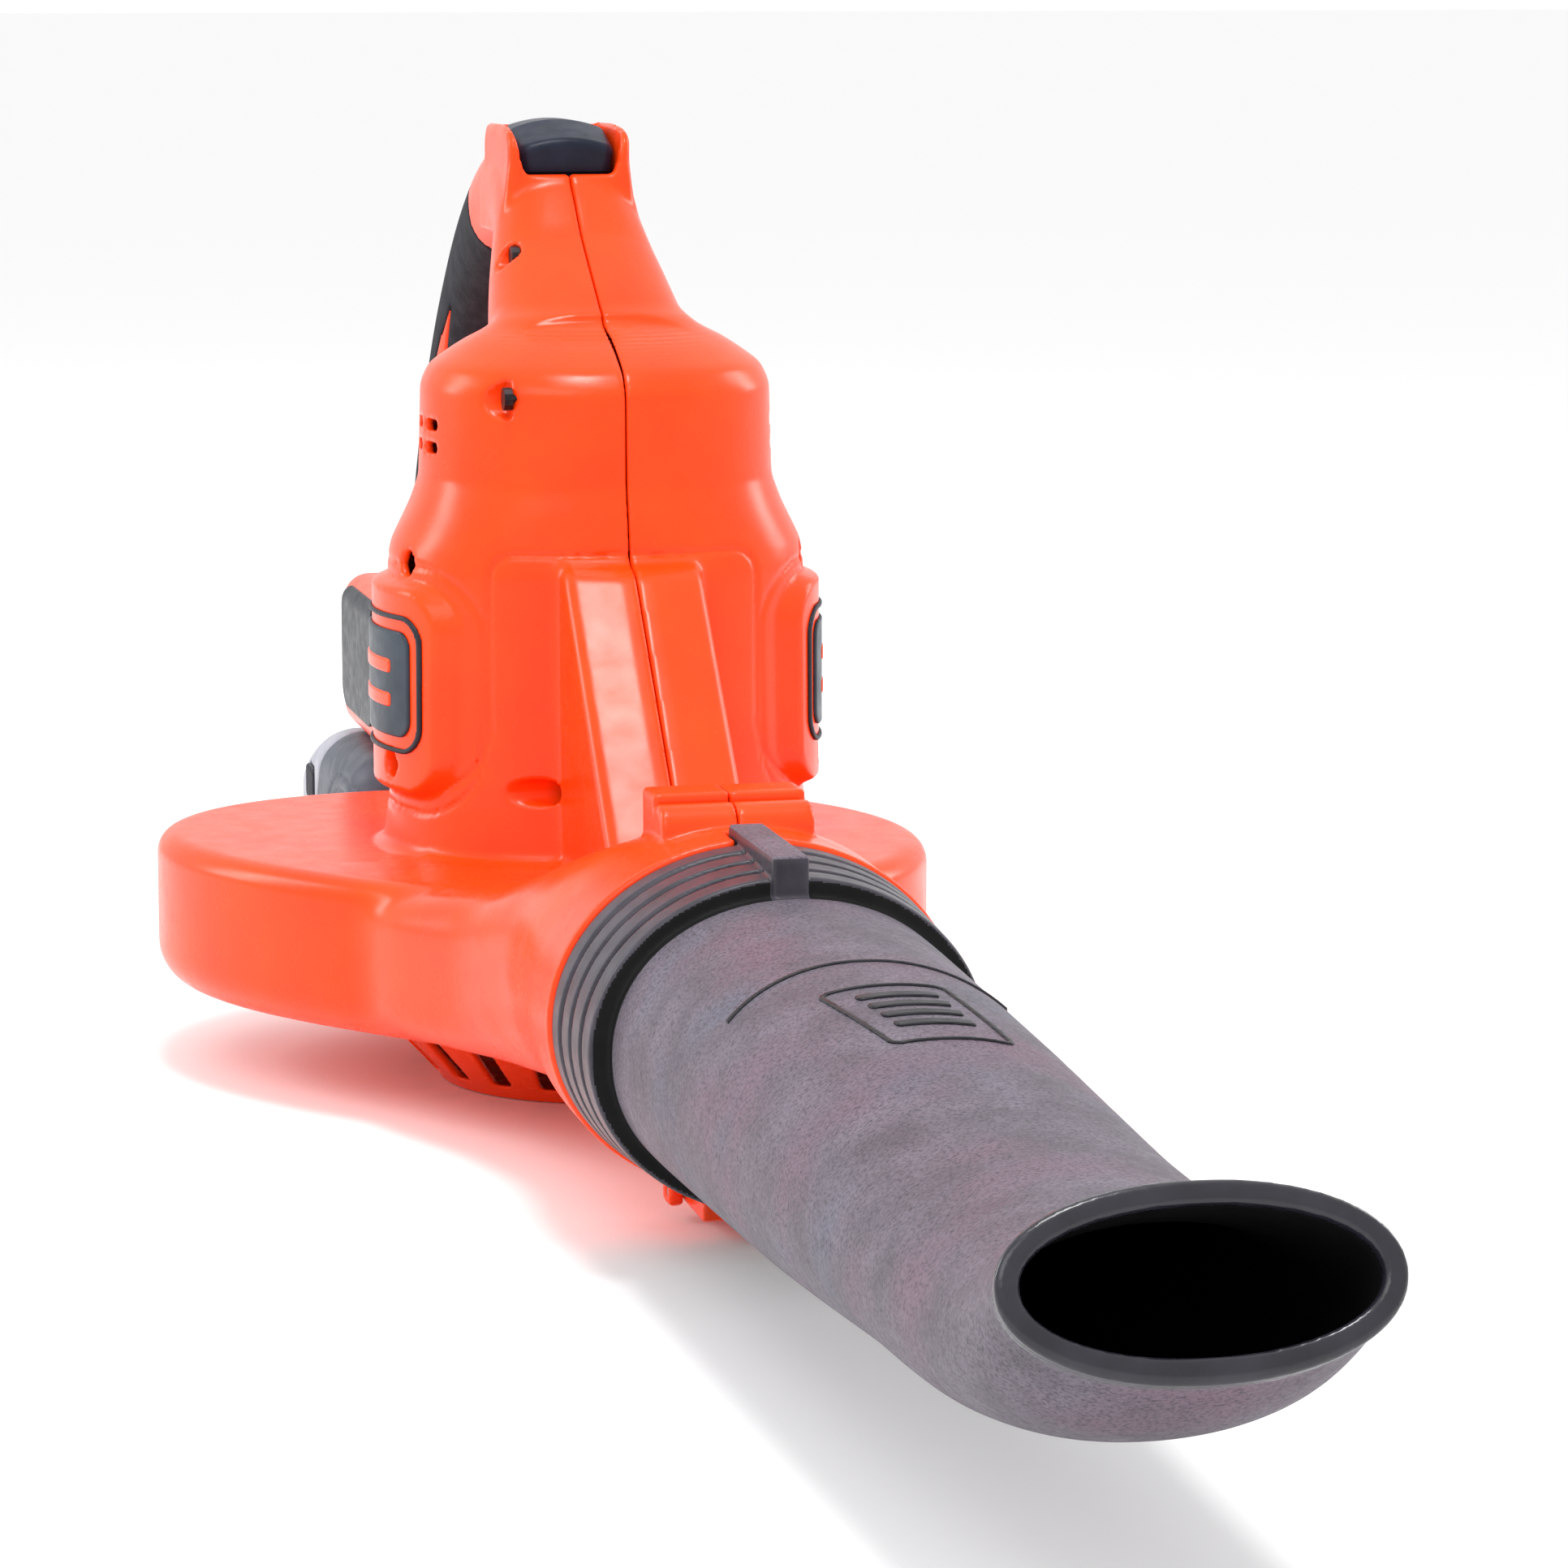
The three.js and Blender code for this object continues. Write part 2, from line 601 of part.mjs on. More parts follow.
const triggerPin = () => rod('x', PIN_RADIUS, -10.5, 10.5, ...pivotYZ, 16);
const triggerSpring = () => spring(new THREE.Vector3(0, ...pivotYZ), 3, 0.4, 1.2, 2.5, 'x');

const switchBody = () => join(
  plate([[-12, -9.6], [-12, -3.5], [14, -3.5], [14, -9.6]].map(triggerPoint), -7, 7),
  plate([[-4, -4], [-4, -1], [0, -1], [0, -4]].map(triggerPoint), -2, 2),
);

// ---------------------------------------------------------------- tube lug, latch and its lever

const LATCH = {
  halfX: 15, front: SOCKET.y - 2, pivotY: SOCKET.y + 27, pivotZ: SOCKET_LOW - 4.9,
  low: SOCKET_LOW - 7.5, high: SOCKET_LOW - 1.9, pin: 1.5,
};
const TOOTH = { halfX: 5, front: SOCKET.y + 4, back: SOCKET.y + 10, top: SOCKET_LOW + 0.7 };

const SOCKET_BORE = { halfX: SOCKET.halfX - WALL, halfZ: SOCKET.halfZ - WALL };
const LUG_TOP = SOCKET_HIGH + LUG.proud;

const lugSlot = () => box(
  -LUG.halfX - RUN, LUG.halfX + RUN, SOCKET.y - 5, SOCKET.y + LUG.reach + 4, LUG_TOP - 12, LUG_TOP + RUN);

const latchWindow = () => box(
  -TOOTH.halfX - 0.6, TOOTH.halfX + 0.6, TOOTH.front - 2, TOOTH.back + 3, LATCH.low + 3, SOCKET_LOW + 11);

// Two ears under the socket that hold the latch's pin.
function latchLugs() {
  const { halfX, pivotY: y, pivotZ, pin } = LATCH;
  const [low, high] = [pivotZ - 3.6, SOCKET_LOW + 7.5];
  const outline = [[y - 6, high], [y - 4, low], [y + 4, low], [y + 8, high]];
  const lugs = SIDES.map((side) => plate(outline, side * (halfX + RUN), side * (halfX + RUN + 4)));
  return cut(join(...lugs), rod('x', pin + GAP, -40, 40, y, pivotZ, 16));
}

// The lever under the socket. Its tooth stops short of the tube, so that the tube slides freely.
function tubeLatch() {
  const { halfX, front, pivotY, pivotZ, low, high, pin } = LATCH;
  const lever = plate([
    [front, low + 1], [front, high], [pivotY - 3, high - 0.2],
    [pivotY + 3.4, pivotZ + 1.6], [pivotY + 3.4, low], [front + 2, low],
  ], -halfX, halfX);
  const tooth = box(-TOOTH.halfX, TOOTH.halfX, TOOTH.front, TOOTH.back, high - 1, TOOTH.top);
  return cut(join(lever, tooth), rod('x', pin + GAP, -40, 40, pivotY, pivotZ, 16));
}

const latchSpring = () => spring(
  new THREE.Vector3(0, LATCH.pivotY + 6.2, LATCH.pivotZ + 3), 1.6, 0.4, 1.6, 3, 'x');
const latchPin = () => rod('x', LATCH.pin, -LATCH.halfX - 4, LATCH.halfX + 4, LATCH.pivotY, LATCH.pivotZ, 16);

// ---------------------------------------------------------------- blow tube

// A section of the tube: shares of the way from root to mouth along it, across and in height,
// and of the mouth's rise and tilt.
function tubeStation(along, across, flat, rise, tilt, power) {
  const mix = THREE.MathUtils.lerp;
  return {
    y: mix(SOCKET.y - COLLAR.length - 4, MOUTH.y, along),
    z: mix(SOCKET.z, MOUTH.z, rise),
    halfX: mix(TUBE_ROOT.halfX, MOUTH.halfX, across),
    halfZ: mix(TUBE_ROOT.halfZ, MOUTH.halfZ, flat),
    pitch: MOUTH.pitch * tilt,
    power,
  };
}

const TUBE_STATIONS = [
  tubeStation(0, 0, 0, 0, 0, 2),
  tubeStation(0.354, 0.43, 0.227, 0, 0, 2.1),
  tubeStation(0.632, 0.79, 0.59, 0.036, 0.12, 2.2),
  tubeStation(0.8, 0.93, 0.636, 0.09, 0.36, 2.2),
  tubeStation(0.916, 1, 0.75, 0.375, 0.8, 2.1),
  tubeStation(1, 1, 1, 1, 1, 2),
];

function tubeRing({ y, z, halfX, halfZ, pitch, power }, inset) {
  const lean = THREE.MathUtils.degToRad(pitch);
  return oval(halfX - inset, halfZ - inset, power, POINTS.tube).map((p) =>
    new THREE.Vector3(p.x, y + p.y * Math.sin(lean), z + p.y * Math.cos(lean)));
}

const ring = (y, halfX, halfZ) => upright(oval(halfX, halfZ, 2, POINTS.tube), y, SOCKET.z);

function blowTube() {
  const spigot = { halfX: SOCKET_BORE.halfX - SPIGOT.clearance, halfZ: SOCKET_BORE.halfZ - SPIGOT.clearance };
  const back = SOCKET.y + SPIGOT.length;
  const start = SOCKET.y - 0.6;
  const pitch = COLLAR.length / COLLAR.ribs;
  const rings = [
    ring(back, spigot.halfX - 1.5, spigot.halfZ - 1.5),
    ring(back - 3, spigot.halfX, spigot.halfZ),
    ring(SEAL.rear, spigot.halfX, spigot.halfZ),
    ring(SEAL.rear, spigot.halfX - SEAL.depth, spigot.halfZ - SEAL.depth),
    ring(SEAL.front, spigot.halfX - SEAL.depth, spigot.halfZ - SEAL.depth),
    ring(SEAL.front, spigot.halfX, spigot.halfZ),
    ring(start, spigot.halfX, spigot.halfZ),
  ];
  for (let i = 0; i < COLLAR.ribs; i += 1) {
    const shrink = 1 + (COLLAR.taper * i) / (COLLAR.ribs - 1);
    const [x, z] = [SOCKET.halfX - shrink, SOCKET.halfZ - shrink];
    const near = start - pitch * i;
    const far = near - pitch * COLLAR.solid;
    rings.push(ring(near, x - COLLAR.groove, z - COLLAR.groove), ring(near - 0.01, x, z));
    rings.push(ring(far, x, z), ring(far - 0.01, x - COLLAR.groove, z - COLLAR.groove));
  }
  const outer = loft([...rings, ...TUBE_STATIONS.map((s) => tubeRing(s, 0))]);
  const bore = loft([
    ring(back + 1, spigot.halfX - SEAL.depth - WALL, spigot.halfZ - SEAL.depth - WALL),
    ring(start - COLLAR.length, TUBE_ROOT.halfX - WALL, TUBE_ROOT.halfZ - WALL),
    ...TUBE_STATIONS.slice(1, -1).map((s) => tubeRing(s, WALL)),
    tubeRing(TUBE_STATIONS.at(-1), WALL + 1.5),
    tubeRing({ ...TUBE_STATIONS.at(-1), y: MOUTH.y - 5, z: MOUTH.z + 2.5 }, WALL + 1.5),
  ]);
  const lug = box(
    -LUG.halfX, LUG.halfX, SOCKET.y - COLLAR.length, SOCKET.y + LUG.reach, SOCKET_HIGH - 6, LUG_TOP);
  const notch = box(
    -TOOTH.halfX - 1, TOOTH.halfX + 1, TOOTH.front - 3, TOOTH.back + 4, SOCKET_LOW, SOCKET_LOW + 10.5);
  return cut(join(cut(outer, bore), lug), notch);
}

function tubeSeal() {
  const { rear, front, depth, proud } = SEAL;
  const at = (y, grow) => ring(y,
    SOCKET_BORE.halfX - SPIGOT.clearance + grow, SOCKET_BORE.halfZ - SPIGOT.clearance + grow);
  const low = GAP - depth;
  const outer = loft([at(rear - GAP, 0.2), at((rear + front) / 2, proud), at(front + GAP, 0.2)]);
  return cut(outer, loft([at(rear + 1, low), at(front - 1, low)]));
}

// ---------------------------------------------------------------- inlet guard

function inletGuard() {
  const { topRadius, bottomRadius, slots, slotWidth, wall } = GUARD;
  const top = SCROLL.bottom - GAP;
  const collar = INLET_RADIUS - RUN;
  const shell = turned([
    [0, 0], [bottomRadius - 2, 0], [bottomRadius, 2], [topRadius, top - 4], [topRadius, top],
    [collar, top], [collar, top + 5], [collar - 3, top + 5], [collar - 3, top - 4],
    [bottomRadius - wall, wall + 1], [0, wall + 1],
  ], 40);
  const tools = [];
  for (let i = 0; i < slots; i += 1) {
    const slot = new THREE.BoxGeometry(40, slotWidth, 11);
    slot.translate(bottomRadius + 12, 0, 11).rotateZ((2 * Math.PI * (i + 0.5)) / slots);
    tools.push(solid(slot));
  }
  for (let i = 0; i < slots / 2; i += 1) {
    const slot = new THREE.BoxGeometry(26, slotWidth, 10);
    slot.translate(31, 0, 2).rotateZ((4 * Math.PI * i) / slots);
    tools.push(solid(slot));
  }
  return cut(shell, ...tools);
}

// ---------------------------------------------------------------- fan and motor

function impeller() {
  const { radius, plateLow, plate: thick, bladeLow, blades, blade, hub } = IMPELLER;
  const disc = turned([
    [SHAFT_RADIUS + GAP, HUB_LOW], [hub - 4, HUB_LOW], [hub, plateLow - 6], [hub + 10, plateLow],
    [radius, plateLow], [radius, plateLow + thick], [SHAFT_RADIUS + GAP, plateLow + thick],
    [SHAFT_RADIUS + GAP, HUB_LOW],
  ], 36);
  const inner = 30;
  const arc = (offset) => Array.from({ length: 5 }, (_, i) => {
    const r = inner + ((radius - 1 - inner) * i) / 4;
    const swing = -0.9 * ((r - inner) / radius) ** 1.2;
    return new THREE.Vector2(r * Math.cos(swing) - offset * Math.sin(swing), r * Math.sin(swing) + offset);
  });
  const outline = new THREE.Shape([...arc(-blade / 2), ...arc(blade / 2).reverse()]);
  const height = plateLow - bladeLow + 1;
  let wheel = disc;
  for (let i = 0; i < blades; i += 1) {
    const vane = new THREE.ExtrudeGeometry(outline, { depth: height, bevelEnabled: false });
    vane.translate(0, 0, bladeLow).rotateZ((2 * Math.PI * i) / blades);
    wheel = wheel.add(solid(vane));
  }
  const eye = turned([[0, bladeLow - 1], [56, bladeLow - 1], [26, bladeLow + 14], [0, bladeLow + 14]], 20);
  const hubKeep = rod('z', hub - 5, bladeLow - 2, bladeLow + 15, 0, 0, 12);
  return cut(wheel, cut(eye, hubKeep));
}

const HUB_LOW = IMPELLER.plateLow - 18;
const NUT_HIGH = HUB_LOW - 1.5 - 2 * GAP;

const impellerWasher = () => washer(SHAFT_RADIUS + GAP, NUT.radius, NUT_HIGH + GAP, HUB_LOW - GAP, 24);

const impellerNut = () => cut(
  rod('z', NUT.radius, NUT_HIGH - NUT.height, NUT_HIGH, 0, 0, 6),
  rod('z', SHAFT_RADIUS + GAP, NUT_HIGH - NUT.height - 1, NUT_HIGH + 1, 0, 0, 24),
);

// The shaft with its armature and commutator.
function rotor() {
  const low = NUT_HIGH - NUT.height - 2;
  const end = MOTOR.high + MOTOR.endBell - 1;
  return turned([
    [0, low], [SHAFT_RADIUS - 1, low], [SHAFT_RADIUS, low + 1], [SHAFT_RADIUS, ARMATURE.low - 4],
    [9, ARMATURE.low - 3], [14, ARMATURE.low],
    [ARMATURE.radius, ARMATURE.low], [ARMATURE.radius, ARMATURE.high],
    [14, ARMATURE.high], [9, ARMATURE.high + 4], [9, ARMATURE.high + 5], [10.5, ARMATURE.high + 5],
    [10.5, ARMATURE.high + 19], [SHAFT_RADIUS, ARMATURE.high + 19], [SHAFT_RADIUS, end - 1], [0, end],
  ], 16);
}

const bearing = (low) => washer(SHAFT_RADIUS + GAP, BEARING.radius, low, low + BEARING.width, 20);

const LOWER_BEARING = MOTOR.low - BEARING.width + 1;
const UPPER_BEARING = MOTOR.high + MOTOR.endBell - BEARING.width - 4;

function motorCan() {
  const { radius, wall, low, high } = MOTOR;
  const seat = BEARING.radius + GAP;
  return turned([
    [seat, LOWER_BEARING], [seat + 2.5, LOWER_BEARING], [seat + 2.5, low], [radius, low], [radius, high],
    [radius - wall, high], [radius - wall, low + wall], [seat - 2.5, low + wall], [seat - 2.5, low + 1 + GAP],
    [seat, low + 1 + GAP], [seat, LOWER_BEARING],
  ], 24);
}

function endBell() {
  const { radius, high, endBell: height } = MOTOR;
  const seat = BEARING.radius + GAP;
  const top = high + height;
  return turned([
    [seat, top - 3], [seat, UPPER_BEARING - GAP], [seat + 3, UPPER_BEARING - GAP], [seat + 3, top - 7],
    [radius - 4, top - 7], [radius - 4, high + GAP],
    [radius, high + GAP], [radius, top - 5], [radius - 3, top - 3],
    [seat, top - 3],
  ], 24);
}

// One field magnet: a shell segment inside the can.
function magnet(side) {
  const outer = MOTOR.radius - MOTOR.wall - GAP;
  const shell = washer(outer - 5.5, outer, ARMATURE.low - 2, ARMATURE.high + 2, 32);
  return shell.intersect(box(0, side * 60, -18, 18, MOTOR.low, MOTOR.high));
}

// One carbon brush, in front of the commutator or behind it.
function brush(side) {
  const middle = side * 17.6;
  return box(-3, 3, middle - 6.4, middle + 6.4, ARMATURE.high + 8, ARMATURE.high + 14);
}

// A clamp ring round the motor, with an ear to each side for a screw.
function motorMount(z) {
  const inner = MOTOR.radius + GAP;
  const [low, high] = [z - MOUNT_HEIGHT / 2, z + MOUNT_HEIGHT / 2];
  const reach = MOUNT_SCREW.tip + 7.5;
  const ears = box(-reach, reach, MOUNT_SCREW.y - 6, MOUNT_SCREW.y + 6, low, high);
  const bar = join(ears, rod('z', inner + 4, low, high, 0, 0, 24));
  const drill = SCREW.shank + GAP;
  return cut(
    bar,
    rod('z', inner, low - 1, high + 1, 0, 0, 24),
    ...SIDES.map((side) => rod('x', drill, side * (MOUNT_SCREW.tip - 3), side * 90, MOUNT_SCREW.y, z, 8)),
  );
}

const mountScrew = (side, z) => screw(
  MOUNT_SCREW.y, z, side * MOUNT_SCREW.head, side * (MOUNT_SCREW.tip + 0.5));

// ---------------------------------------------------------------- badges, label, grips

function badge(side) {
  const skin = (grow, low, high) => loft([low, high].map((z) =>
    bodyRing(BODY.halfX + PAD.rise + grow, BODY.halfY + PAD.rise + grow, z, 56)));
  const shell = cut(
    skin(GAP + BADGE.thickness, BADGE.low, BADGE.high),
    skin(GAP + 0.1, BADGE.low - 1, BADGE.high + 1),
  );
  return shell.intersect(box(side * 30, side * 100, -BADGE.halfY, BADGE.halfY, BADGE.low, BADGE.high));
}

// A flat label on each side of the foot.
function rearLabel(side) {
  const x = side * (FOOT.halfX + GAP);
  return box(x, x + side * 1.2, FOOT.rear - 80, FOOT.rear - 23, FOOT.bottom + 12, FOOT.top - 9);
}

// One half of the rubber sleeve round the hand grip.
const grip = (side) => gripSleeve(0, GAP - GRIP.depth, -0.004)
  .subtract(triggerSlot())
  .intersect(box(side * GAP * 0.5, side * 60, 0, 300, 100, 320));

// ---------------------------------------------------------------- battery

// The pack's plan outline at a height, pulled in all round and once more at its rear end.
function packRing(z, inset, rearInset = 0) {
  const { halfX, front, rear, corner } = BATTERY;
  const middle = (front + rear - rearInset) / 2;
  const long = (rear - rearInset - front) / 2 - inset;
  const wide = halfX - inset;
  const radius = Math.max(corner - inset, 2);
  const points = [];
  for (const [cx, cy, start] of [[1, 1, 0], [-1, 1, 90], [-1, -1, 180], [1, -1, 270]]) {
    for (let i = 0; i <= 4; i += 1) {
      const angle = THREE.MathUtils.degToRad(start + (90 * i) / 4);
      points.push(new THREE.Vector3(
        cx * (wide - radius) + radius * Math.cos(angle),
        middle + cy * (long - radius) + radius * Math.sin(angle),
        z,
      ));
    }
  }
  return points;
}

function batteryUpper() {
  const { split, wall } = BATTERY;
  const body = loft([
    packRing(split + GAP / 2, 0), packRing(PACK_TOP - 18, 0, 4), packRing(PACK_TOP - 9, 2.5, 10),
    packRing(PACK_TOP - 3, 7.5, 22), packRing(PACK_TOP, 14, 30),
  ]);
  const room = loft([
    packRing(split - 1, wall), packRing(PACK_TOP - 18, wall, 6), packRing(PACK_TOP - wall, wall + 13, 34),
  ]);
  const tower = box(-RAIL.halfX, RAIL.halfX, RAIL.front, RAIL.rear, PACK_TOP - 3, PACK_TOP + RAIL.height);
  const inner = RAIL.halfX - wall;
  const throat = box(-inner, inner, RAIL.front - 1, RAIL.rear - wall, PACK_TOP - 6, PACK_TOP + 3);
  return cut(join(body, tower), room, throat, releaseHoles(), contactSlots());
}

function batteryLower() {
  const { split, wall } = BATTERY;
  const body = loft([packRing(0, 5), packRing(1.5, 1.5), packRing(5, 0), packRing(split - GAP / 2, 0)]);
  return cut(body, loft([packRing(wall, wall + 2), packRing(split + 1, wall)]));
}

const RELEASE_INNER = BATTERY.halfX + RELEASE.proud - RELEASE.thick;

// A block through the pack's wall at a release button, between two distances from the middle.
function releaseBlock(side, inner, outer, grow) {
  const { y, z, halfY, halfZ } = RELEASE;
  return box(
    side * inner, side * outer, y - halfY - grow, y + halfY + grow, z - halfZ - grow, z + halfZ + grow);
}

const releaseHoles = () => join(...SIDES.map((side) =>
  releaseBlock(side, BATTERY.halfX - 10, BATTERY.halfX + 6, RUN)));
const releaseButton = (side) => releaseBlock(side, RELEASE_INNER, BATTERY.halfX + RELEASE.proud, 0);

// The spring behind a release button, at its pressed length.
function releaseSpring(side) {
  const middle = side * (RELEASE_INNER - RELEASE.travel - GAP - 2.9);
  return spring(new THREE.Vector3(middle, RELEASE.y, RELEASE.z), 3.2, 0.5, 1.6, 3, 'x');
}

// Ten cells lie across the pack in two rows, held in one block.
function cellPack() {
  const { radius, length, columns, rows, pitch } = CELL;
  const middleY = (BATTERY.front + BATTERY.rear) / 2 - 6;
  const low = 4 + radius;
  const cells = [];
  for (let r = 0; r < rows; r += 1) {
    for (let c = 0; c < columns; c += 1) {
      const y = middleY + (c - (columns - 1) / 2) * pitch;
      cells.push(rod('x', radius, -length / 2, length / 2, y, low + r * pitch, 8));
    }
  }
  const long = (columns * pitch) / 2 - 2;
  const [bottom, top] = [low - radius + 2, low + pitch + radius - 2];
  const spacer = (x) => box(x - 2, x + 2, middleY - long, middleY + long, bottom, top);
  return join(...cells, spacer(-22), spacer(22));
}

const packBoard = () => box(-30, 30, RAIL.front + 2, RAIL.rear, BATTERY.split + 10, BATTERY.split + 11.8);

// ---------------------------------------------------------------- contacts and board

const CONTACT_X = [-14, 0, 14];
const BLADE = {
  half: 0.5, low: FOOT.bottom + 0.2, high: FOOT.bottom + 3.6, front: RAIL.front - 1.2, length: 13.2,
};

const contactSlots = () => join(...CONTACT_X.map((x) =>
  box(x - 1.2, x + 1.2, RAIL.front - 2, RAIL.front + 16, PACK_TOP - 1, PACK_TOP + 10)));

const batteryRecess = () => box(
  -RAIL.halfX - RUN, RAIL.halfX + RUN, RAIL.front - 18, FOOT.rear + 10,
  FOOT.bottom - 2, PACK_TOP + RAIL.height + RUN);

const terminalBlock = () => box(-22, 22, RAIL.front - 14, RAIL.front - 1.5, BLADE.low, FOOT.bottom + 14);
const contactBlade = (x) => box(
  x - BLADE.half, x + BLADE.half, BLADE.front, BLADE.front + BLADE.length, BLADE.low, BLADE.high);
const controlBoard = () => box(-30, 30, 90, 150, FOOT.bottom + 18, FOOT.bottom + 19.8);

// ---------------------------------------------------------------- leads

const lead = (points, radius) => wire(
  new THREE.CatmullRomCurve3(points.map(([x, y, z]) => new THREE.Vector3(x, y, z))), radius, 24, 8);

// A point inside the handle: a place along it, a side offset and one away from the hand opening.
function inHandle(t, x, w) {
  const { centre, out } = handleFrame(t);
  return centre.addScaledVector(out, w).add(new THREE.Vector3(x, 0, 0)).toArray();
}

const leadMotor = () => lead([
  inHandle(0.4, 6, -5), inHandle(0.3, 8, -7), inHandle(0.22, 9, -6), inHandle(0.14, 7, -6),
  inHandle(0.07, 4, -5), [0, 17, 206], [0, 17, MOTOR.high + 17],
], 2.2);
const leadBattery = () => lead([
  inHandle(0.6, 6, -2), inHandle(0.68, 7, 0), inHandle(0.76, 7, 0), inHandle(0.84, 7, 0),
  inHandle(0.92, 7, 0),
  [8, 192, 118], [8, 172, 108], [8, 168, 94.5],
], 2.2);

// ---------------------------------------------------------------- the whole blower

const model = new THREE.Group();

function add(name, manifold, material) {
  const mesh = new THREE.Mesh(geometryOf(manifold), material);
  mesh.name = name;
  model.add(mesh);
}

const wholeCasing = casing();
const HALF = { reach: 200, low: -10, high: 320, front: -260, back: 320 };
const halfBox = (x0, x1) => box(x0, x1, HALF.front, HALF.back, HALF.low, HALF.high);
add('casing_left', wholeCasing.intersect(halfBox(-HALF.reach, -GAP / 2)), orangePlastic());
add('casing_right', wholeCasing.intersect(halfBox(GAP / 2, HALF.reach)), orangePlastic());
for (const [name, place] of Object.entries(CASE_SCREWS)) add(`screw_${name}`, caseScrew(place), steel());
for (const side of SIDES) {
  const word = side < 0 ? 'left' : 'right';
  for (const [name, z] of Object.entries(MOUNT_LEVELS)) {
    add(`mount_screw_${name}_${word}`, mountScrew(side, z), steel());
  }
  add(`badge_${word}`, badge(side), greyPlastic());
  add(`grip_${word}`, grip(side), blackRubber());
  add(`rear_label_${word}`, rearLabel(side), blackPlastic());
  add(`battery_release_${word}`, releaseButton(side), blackPlastic());
  add(`release_spring_${word}`, releaseSpring(side), steel());
}

add('inlet_guard', inletGuard(), orangePlastic());
add('impeller', impeller(), blackPlastic());
add('impeller_washer', impellerWasher(), steel());
add('impeller_nut', impellerNut(), steel());
add('rotor', rotor(), copper());
add('bearing_lower', bearing(LOWER_BEARING), steel());
add('bearing_upper', bearing(UPPER_BEARING), steel());
add('motor_can', motorCan(), steel());
add('motor_end_bell', endBell(), blackPlastic());
add('magnet_left', magnet(-1), magnetGrey());
add('magnet_right', magnet(1), magnetGrey());
add('brush_front', brush(-1), copper());
add('brush_rear', brush(1), copper());
for (const [name, z] of Object.entries(MOUNT_LEVELS)) {
  add(`motor_mount_${name}`, motorMount(z), greyPlastic());
}

add('top_button', topButton(), blackPlastic());
add('boost_switch', boostSwitch(), blackPlastic());
add('button_spring', buttonSpring(), steel());
add('trigger', trigger(), blackPlastic());
add('trigger_pin', triggerPin(), steel());
add('trigger_spring', triggerSpring(), steel());
add('switch_body', switchBody(), blackPlastic());
add('lead_motor', leadMotor(), wireRed());
add('lead_battery', leadBattery(), wireRed());

add('blow_tube', blowTube(), greyPlastic());
add('tube_seal', tubeSeal(), blackRubber());
add('tube_latch', tubeLatch(), orangePlastic());
add('latch_pin', latchPin(), steel());
add('latch_spring', latchSpring(), steel());

add('battery_shell_upper', batteryUpper(), greyPlastic());
add('battery_shell_lower', batteryLower(), blackPlastic());
add('cell_pack', cellPack(), cellBlue());
add('battery_board', packBoard(), boardGreen());
add('terminal_block', terminalBlock(), blackPlastic());
CONTACT_X.forEach((x, i) => add(`contact_blade_${i + 1}`, contactBlade(x), steel()));
add('control_board', controlBoard(), boardGreen());

export default model;
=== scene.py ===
import json
import math

import bpy
import numpy as np
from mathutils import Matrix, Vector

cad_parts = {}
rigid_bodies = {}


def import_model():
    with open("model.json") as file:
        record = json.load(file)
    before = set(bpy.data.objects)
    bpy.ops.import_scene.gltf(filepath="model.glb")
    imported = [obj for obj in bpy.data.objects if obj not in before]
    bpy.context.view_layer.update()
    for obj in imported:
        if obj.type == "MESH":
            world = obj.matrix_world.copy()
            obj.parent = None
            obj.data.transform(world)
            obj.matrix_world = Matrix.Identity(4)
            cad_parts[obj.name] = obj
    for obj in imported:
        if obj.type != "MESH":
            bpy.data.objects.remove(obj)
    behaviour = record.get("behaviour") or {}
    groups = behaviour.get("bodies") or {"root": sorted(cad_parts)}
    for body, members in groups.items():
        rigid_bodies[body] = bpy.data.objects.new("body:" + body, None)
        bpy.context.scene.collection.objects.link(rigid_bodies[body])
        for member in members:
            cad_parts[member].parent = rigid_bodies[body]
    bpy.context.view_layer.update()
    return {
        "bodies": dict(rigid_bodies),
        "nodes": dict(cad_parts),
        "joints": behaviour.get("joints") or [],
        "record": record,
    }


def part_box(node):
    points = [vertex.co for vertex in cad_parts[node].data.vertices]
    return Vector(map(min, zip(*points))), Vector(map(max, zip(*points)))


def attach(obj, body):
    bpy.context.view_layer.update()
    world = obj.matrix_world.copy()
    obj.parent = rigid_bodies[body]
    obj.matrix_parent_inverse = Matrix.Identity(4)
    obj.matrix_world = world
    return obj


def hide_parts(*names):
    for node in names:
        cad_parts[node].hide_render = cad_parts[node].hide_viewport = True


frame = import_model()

import openvdb
from mathutils import Vector

MM = 0.001


def node_box(name):
    """A CAD node's lowest and highest corners, in millimetres."""
    low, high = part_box(name)
    return [v / MM for v in low], [v / MM for v in high]


# ---------------------------------------------------------------- sizes, in millimetres

VOXEL = 1.0
FINE = 0.5
FAR = 30.0
WALL = 3.0
GAP = 0.3
SEAM = 0.15  # from the middle to each half's edge

casing_low, _ = node_box("casing_left")

SCROLL = {"low": 26.0, "high": 75.0, "radius": 103.5, "growth": 42.0, "peak": 148.0, "spread": 42.0,
          "low_edge": 14.0, "high_edge": 7.0}
SOCKET = {"y": casing_low[1], "z": 62.0, "half_x": 58.0, "half_z": 49.5}
BOSS_RISE = 5.0  # of the badge's pad above the housing
BODY_Y = 2.0
BODY_POWER = 2.1
